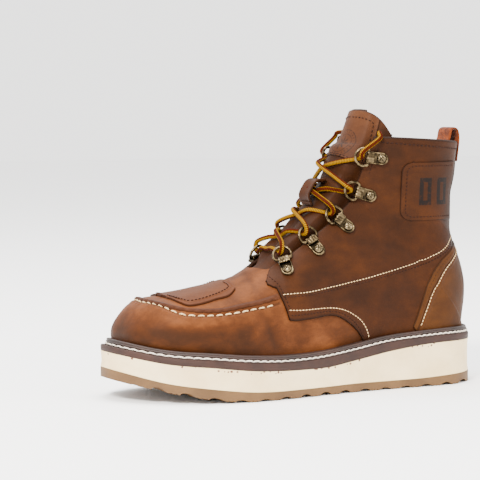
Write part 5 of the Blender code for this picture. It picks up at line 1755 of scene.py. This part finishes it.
edge_line = even(np.vstack([out_xy, out_xy[:1]]), 0.9 * MM)[0][:-1]
tangent = np.roll(edge_line, -2, 0) - np.roll(edge_line, 2, 0)
edge_out = unit(np.stack([tangent[:, 1], -tangent[:, 0]], 1))
edge_out *= np.sign((edge_out * (edge_line - edge_line.mean(0))).sum())
for _ in range(6):
    edge_out = unit(edge_out + np.roll(edge_out, 1, 0) + np.roll(edge_out, -1, 0))
ease = edge_line[:, 0] / SOLE_LENGTH
lip = np.interp(ease, (0, 0.08, 0.9, 1), (WELT_LIP_HEEL, WELT_LIP_SIDE, WELT_LIP_SIDE, WELT_LIP_TOE))
lip = lip * (1 - 0.42 * at_ends(ease))
welt_profile = ((0.00035, -0.0002), (0.0000, 0.0006), (0.0003, 0.0012), (0.0011, 0.0016), (0.0011, 0.0019),
                (0.0005, 0.0022), (0.0001, 0.0028), (0.0004, 0.0033), (0.0010, 0.00355), (0.0010, 0.0037),
                (0.0006, 0.0040), (0.0008, 0.0046), (0.0016, 0.0049), (0.0026, 0.0049), (0.0036, 0.0046))
ring_rows = []
for inward, up in welt_profile:
    xy = edge_line - edge_out * inward
    ring_rows.append(np.column_stack([xy, layer(edge_line[:, 0], 3) + up]))
for share, up in ((0.7, 0.0046), (1.0, 0.0049), (1.12, 0.0047), (1.12, 0.0042)):
    xy = edge_line - edge_out * (lip * share + (0.0045 if up < 0.0045 else 0.0))[:, None]
    ring_rows.append(np.column_stack([xy, layer(xy[:, 0], 3) + up]))
grid = np.array(ring_rows) + SHIFT
faces = grid_faces(grid.shape[0], grid.shape[1], loop_cols=True)
way = np.cross(grid[1, 0] - grid[0, 0], grid[0, 1] - grid[0, 0])
if way[:2] @ edge_out[0] < 0:
    faces = faces[:, ::-1]
welt = own("ribbed_welt", grid.reshape(-1, 3), faces, WELT_MAT)
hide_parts("welt")


# Stitches
def stitch_mesh(name, rows, mat, sides=7):
    """Each stitch is a short plump thread that dives in at both ends."""
    verts, faces = [], []
    shape = ((0.0, 0.45, -0.75), (0.12, 0.85, 0.05), (0.30, 1.0, 0.42), (0.5, 1.0, 0.52),
             (0.70, 1.0, 0.42), (0.88, 0.85, 0.05), (1.0, 0.45, -0.75))
    tube = grid_faces(len(shape), sides, loop_cols=True)[:, ::-1]
    for a, b, out, radius, bow in rows:
        way = b - a
        length = np.linalg.norm(way)
        way = way / length
        out = unit(out - way * (out @ way))
        side = np.cross(way, out)
        start = len(verts)
        for s, thick, high in shape:
            arch = bow * (1 - (2 * s - 1) ** 2)
            c = a + way * length * s + out * radius * high + side * arch
            for k in range(sides):
                ang = 2 * math.pi * k / sides
                verts.append(c + radius * thick * (out * math.cos(ang) + side * math.sin(ang)))
        faces += (tube + start).tolist()
        faces.append([start + k for k in range(sides - 1, -1, -1)])
        faces.append([start + (len(shape) - 1) * sides + k for k in range(sides)])
    made = own(name, verts, faces, mat)
    return made


def run_stitches(p, n, length, gap, radius, skip=0.0):
    """Stitches along a traced line."""
    run = run_of(p)
    rows = []
    s = skip
    while s + length < run[-1] - skip:
        a, b = at_run(s, run, p), at_run(s + length, run, p)
        out = at_run(s + length / 2, run, n)
        rows.append((a, b, out, radius, 0.0))
        s += length + gap
    return rows


def on_panel(knots, side, height):
    """A traced line raised to a panel's face, with its soft folds."""
    p, n = trace(knots, side)[:2]
    high = fold_field(p, np.full(len(p), side))
    return p + n * (height + high)[:, None], n


def sewn(t, u, side, away, folds, length, gap, radius):
    """Stitches along sections t and shares u at a height over the last."""
    sides = np.full(len(t), side)
    p, n = on_last(t, u, sides), facing(t, u, sides)
    p = p + n * (away + folds * fold_field(p, sides))[:, None]
    line = even(p, 0.5 * MM, n)[0]
    return run_stitches(line[:, :3], line[:, 3:], length * MM, gap * MM, radius * MM)


INNER_WING = ((8.91, 0.371), (9.44, 0.350), (10.0, 0.337), (10.47, 0.325), (10.88, 0.310),
              (11.25, 0.285), (11.53, 0.254), (11.72, 0.222), (11.88, 0.188), (11.97, 0.155),
              (12.02, 0.12), (12.04, 0.079), (12.02, 0.040))
NEAR_WING = ((8.97, 0.330), (9.44, 0.318), (10.0, 0.309), (10.5, 0.301), (10.9, 0.285),
             (11.25, 0.255), (11.5, 0.214), (11.68, 0.170), (11.80, 0.12), (11.87, 0.05))
FRONT_LINE = ((8.42, 0.73), (8.50, 0.67), (8.66, 0.60), (8.78, 0.50), (8.90, 0.41), (8.98, 0.345))
RIM_LINE = tuple((24.82, v) for v in np.linspace(0.14, 0.74, 8))
THROAT_LINE = tuple((v, float(throat(v)) - 0.034) for v in (
    9.0, 9.8, 10.8, 12, 13.2, 14.7, 16.4, 18.2, 19.6, 21, 22.4, 23.4, 24.3))
INNER_PAD = ((4.62, 0.93), (4.68, 0.80), (4.84, 0.69), (5.12, 0.632), (6.05, 0.668), (6.85, 0.742),
             (7.02, 0.80), (7.06, 0.93))
TOP = LAID - 0.0002
white, brown = [], []
SEAMS = (
    # thread, line, height, then stitch, gap, radius and free end in mm
    (white, MOC_STITCH, -0.0001, 5.2, 1.8, 0.62, 0),
    (white, MID_SEAM[:-1], TOP + 0.00022, 2.1, 0.55, 0.36, 0),
    (brown, moved(MID_SEAM[:-1], -0.020), TOP + 0.0001, 2.1, 0.75, 0.32, 0),
    (white, INNER_WING, TOP, 2.1, 0.6, 0.36, 0),
    (brown, NEAR_WING, TOP, 2.0, 0.8, 0.30, 0),
    (brown, FRONT_LINE, TOP, 2.0, 0.8, 0.32, 0),
    (white, moved(COUNTER[1:], -0.040), LAID + 0.0009, 2.1, 0.6, 0.36, 0.5),
    (brown, moved(COUNTER[1:-1], -0.012), LAID + 0.0006, 2.0, 0.8, 0.28, 2),
    (brown, RIM_LINE, TOP, 2.6, 0.9, 0.44, 0),
    (brown, THROAT_LINE, TOP, 2.2, 0.9, 0.30, 0),
    (brown, INNER_PAD, LAID + 0.0003, 2.2, 0.8, 0.42, 0),
)
for side in (1, -1):
    for thread_rows, knots, height, length, gap, radius, free in SEAMS:
        p, n = on_panel(knots, side, height)
        thread_rows += run_stitches(p, n, length * MM, gap * MM, radius * MM, free * MM)
    # round the side patch
    t, u = patch_coords(side)[:2]
    i0, i1, j1 = 5, t.shape[0] - 6, t.shape[1] - 6
    ring_t, ring_u = (np.concatenate([v[i0, 2:j1 - 3], v[i0 + 3:i1 - 3, j1], v[i1, 2:j1 - 3][::-1]])
                      for v in (t, u))
    brown += sewn(ring_t, ring_u, side, LAID + PANEL_GAP + 0.0006, 1, 2.0, 0.9, 0.32)
    # up the tongue's head and over its top, then across its foot
    a_line = np.concatenate([np.full(20, 0.62), np.linspace(0.62, 0.0, 30)])
    t_line = np.concatenate([np.linspace(22.4, 25.2, 20), np.full(30, 26.0)])
    t_line = np.minimum(t_line, tongue_top(a_line) - 0.22)
    foot_a, foot_t = np.linspace(0.66, 0.0, 24), np.full(24, 22.22)
    for a, t, folds, length, radius in ((a_line, t_line, 0.5, 2.4, 0.36),
                                        (foot_a, foot_t, 0.0, 2.2, 0.34)):
        u = 1 - a * edge(TONGUE, t)
        brown += sewn(t, u, side, tongue_away(t, u) + PANEL_GAP + 0.0007, folds, length, 1.0, radius)

# cross-stitches down the back strip
ts = np.arange(21.3, 24.6, 0.16)
for k, v in enumerate(ts[:-1]):
    for a_u, b_u in ((0.03, -0.03), (-0.03, 0.03)):
        ends_p = []
        for uu, tt in ((a_u, v), (b_u, ts[k + 1])):
            q = on_last([tt], [abs(uu)], [1 if uu >= 0 else -1])[0]
            m = facing([tt], [abs(uu)], [1 if uu >= 0 else -1])[0]
            ends_p.append(q + m * (LAID + 0.0009))
        brown.append((ends_p[0], ends_p[1], m, 0.32 * MM, 0.0))

stitch_mesh("white_stitches", white, WHITE_THREAD)
stitch_mesh("brown_stitches", brown, BROWN_THREAD)

# scalloped thread along the welt's foot
rows = []
line = edge_line + edge_out * 0.0001
pts = np.column_stack([line, layer(edge_line[:, 0], 3) + 0.00095]) + SHIFT
run = run_of(pts)
outs = np.column_stack([edge_out, np.zeros(len(edge_out))])
s = 0.0
while s < run[-1] - 0.004:
    where = np.interp(s, run, edge_line[:, 0]) / SOLE_LENGTH
    pitch = np.interp(where, (0, 0.45, 0.8, 1.0), (4.7, 5.2, 6.6, 7.4)) * MM
    a, b = at_run(s, run, pts), at_run(min(s + pitch * 1.06, run[-1]), run, pts)
    out = at_run(s + pitch / 2, run, outs)
    way = (b - a) / np.linalg.norm(b - a)
    side_way = np.cross(way, out)
    sign = 1 if side_way[2] > 0 else -1
    sunk = np.array([0, 0, 0.0003])
    rows.append((a - sunk, b - sunk, out, 0.56 * MM, sign * 0.75 * MM))
    s += pitch
stitch_mesh("welt_stitches", rows, WELT_THREAD, sides=8)

size = {"cad": [list(map(float, p)) for p in CAD_BOX], "visual": [list(map(float, p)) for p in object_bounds()]}
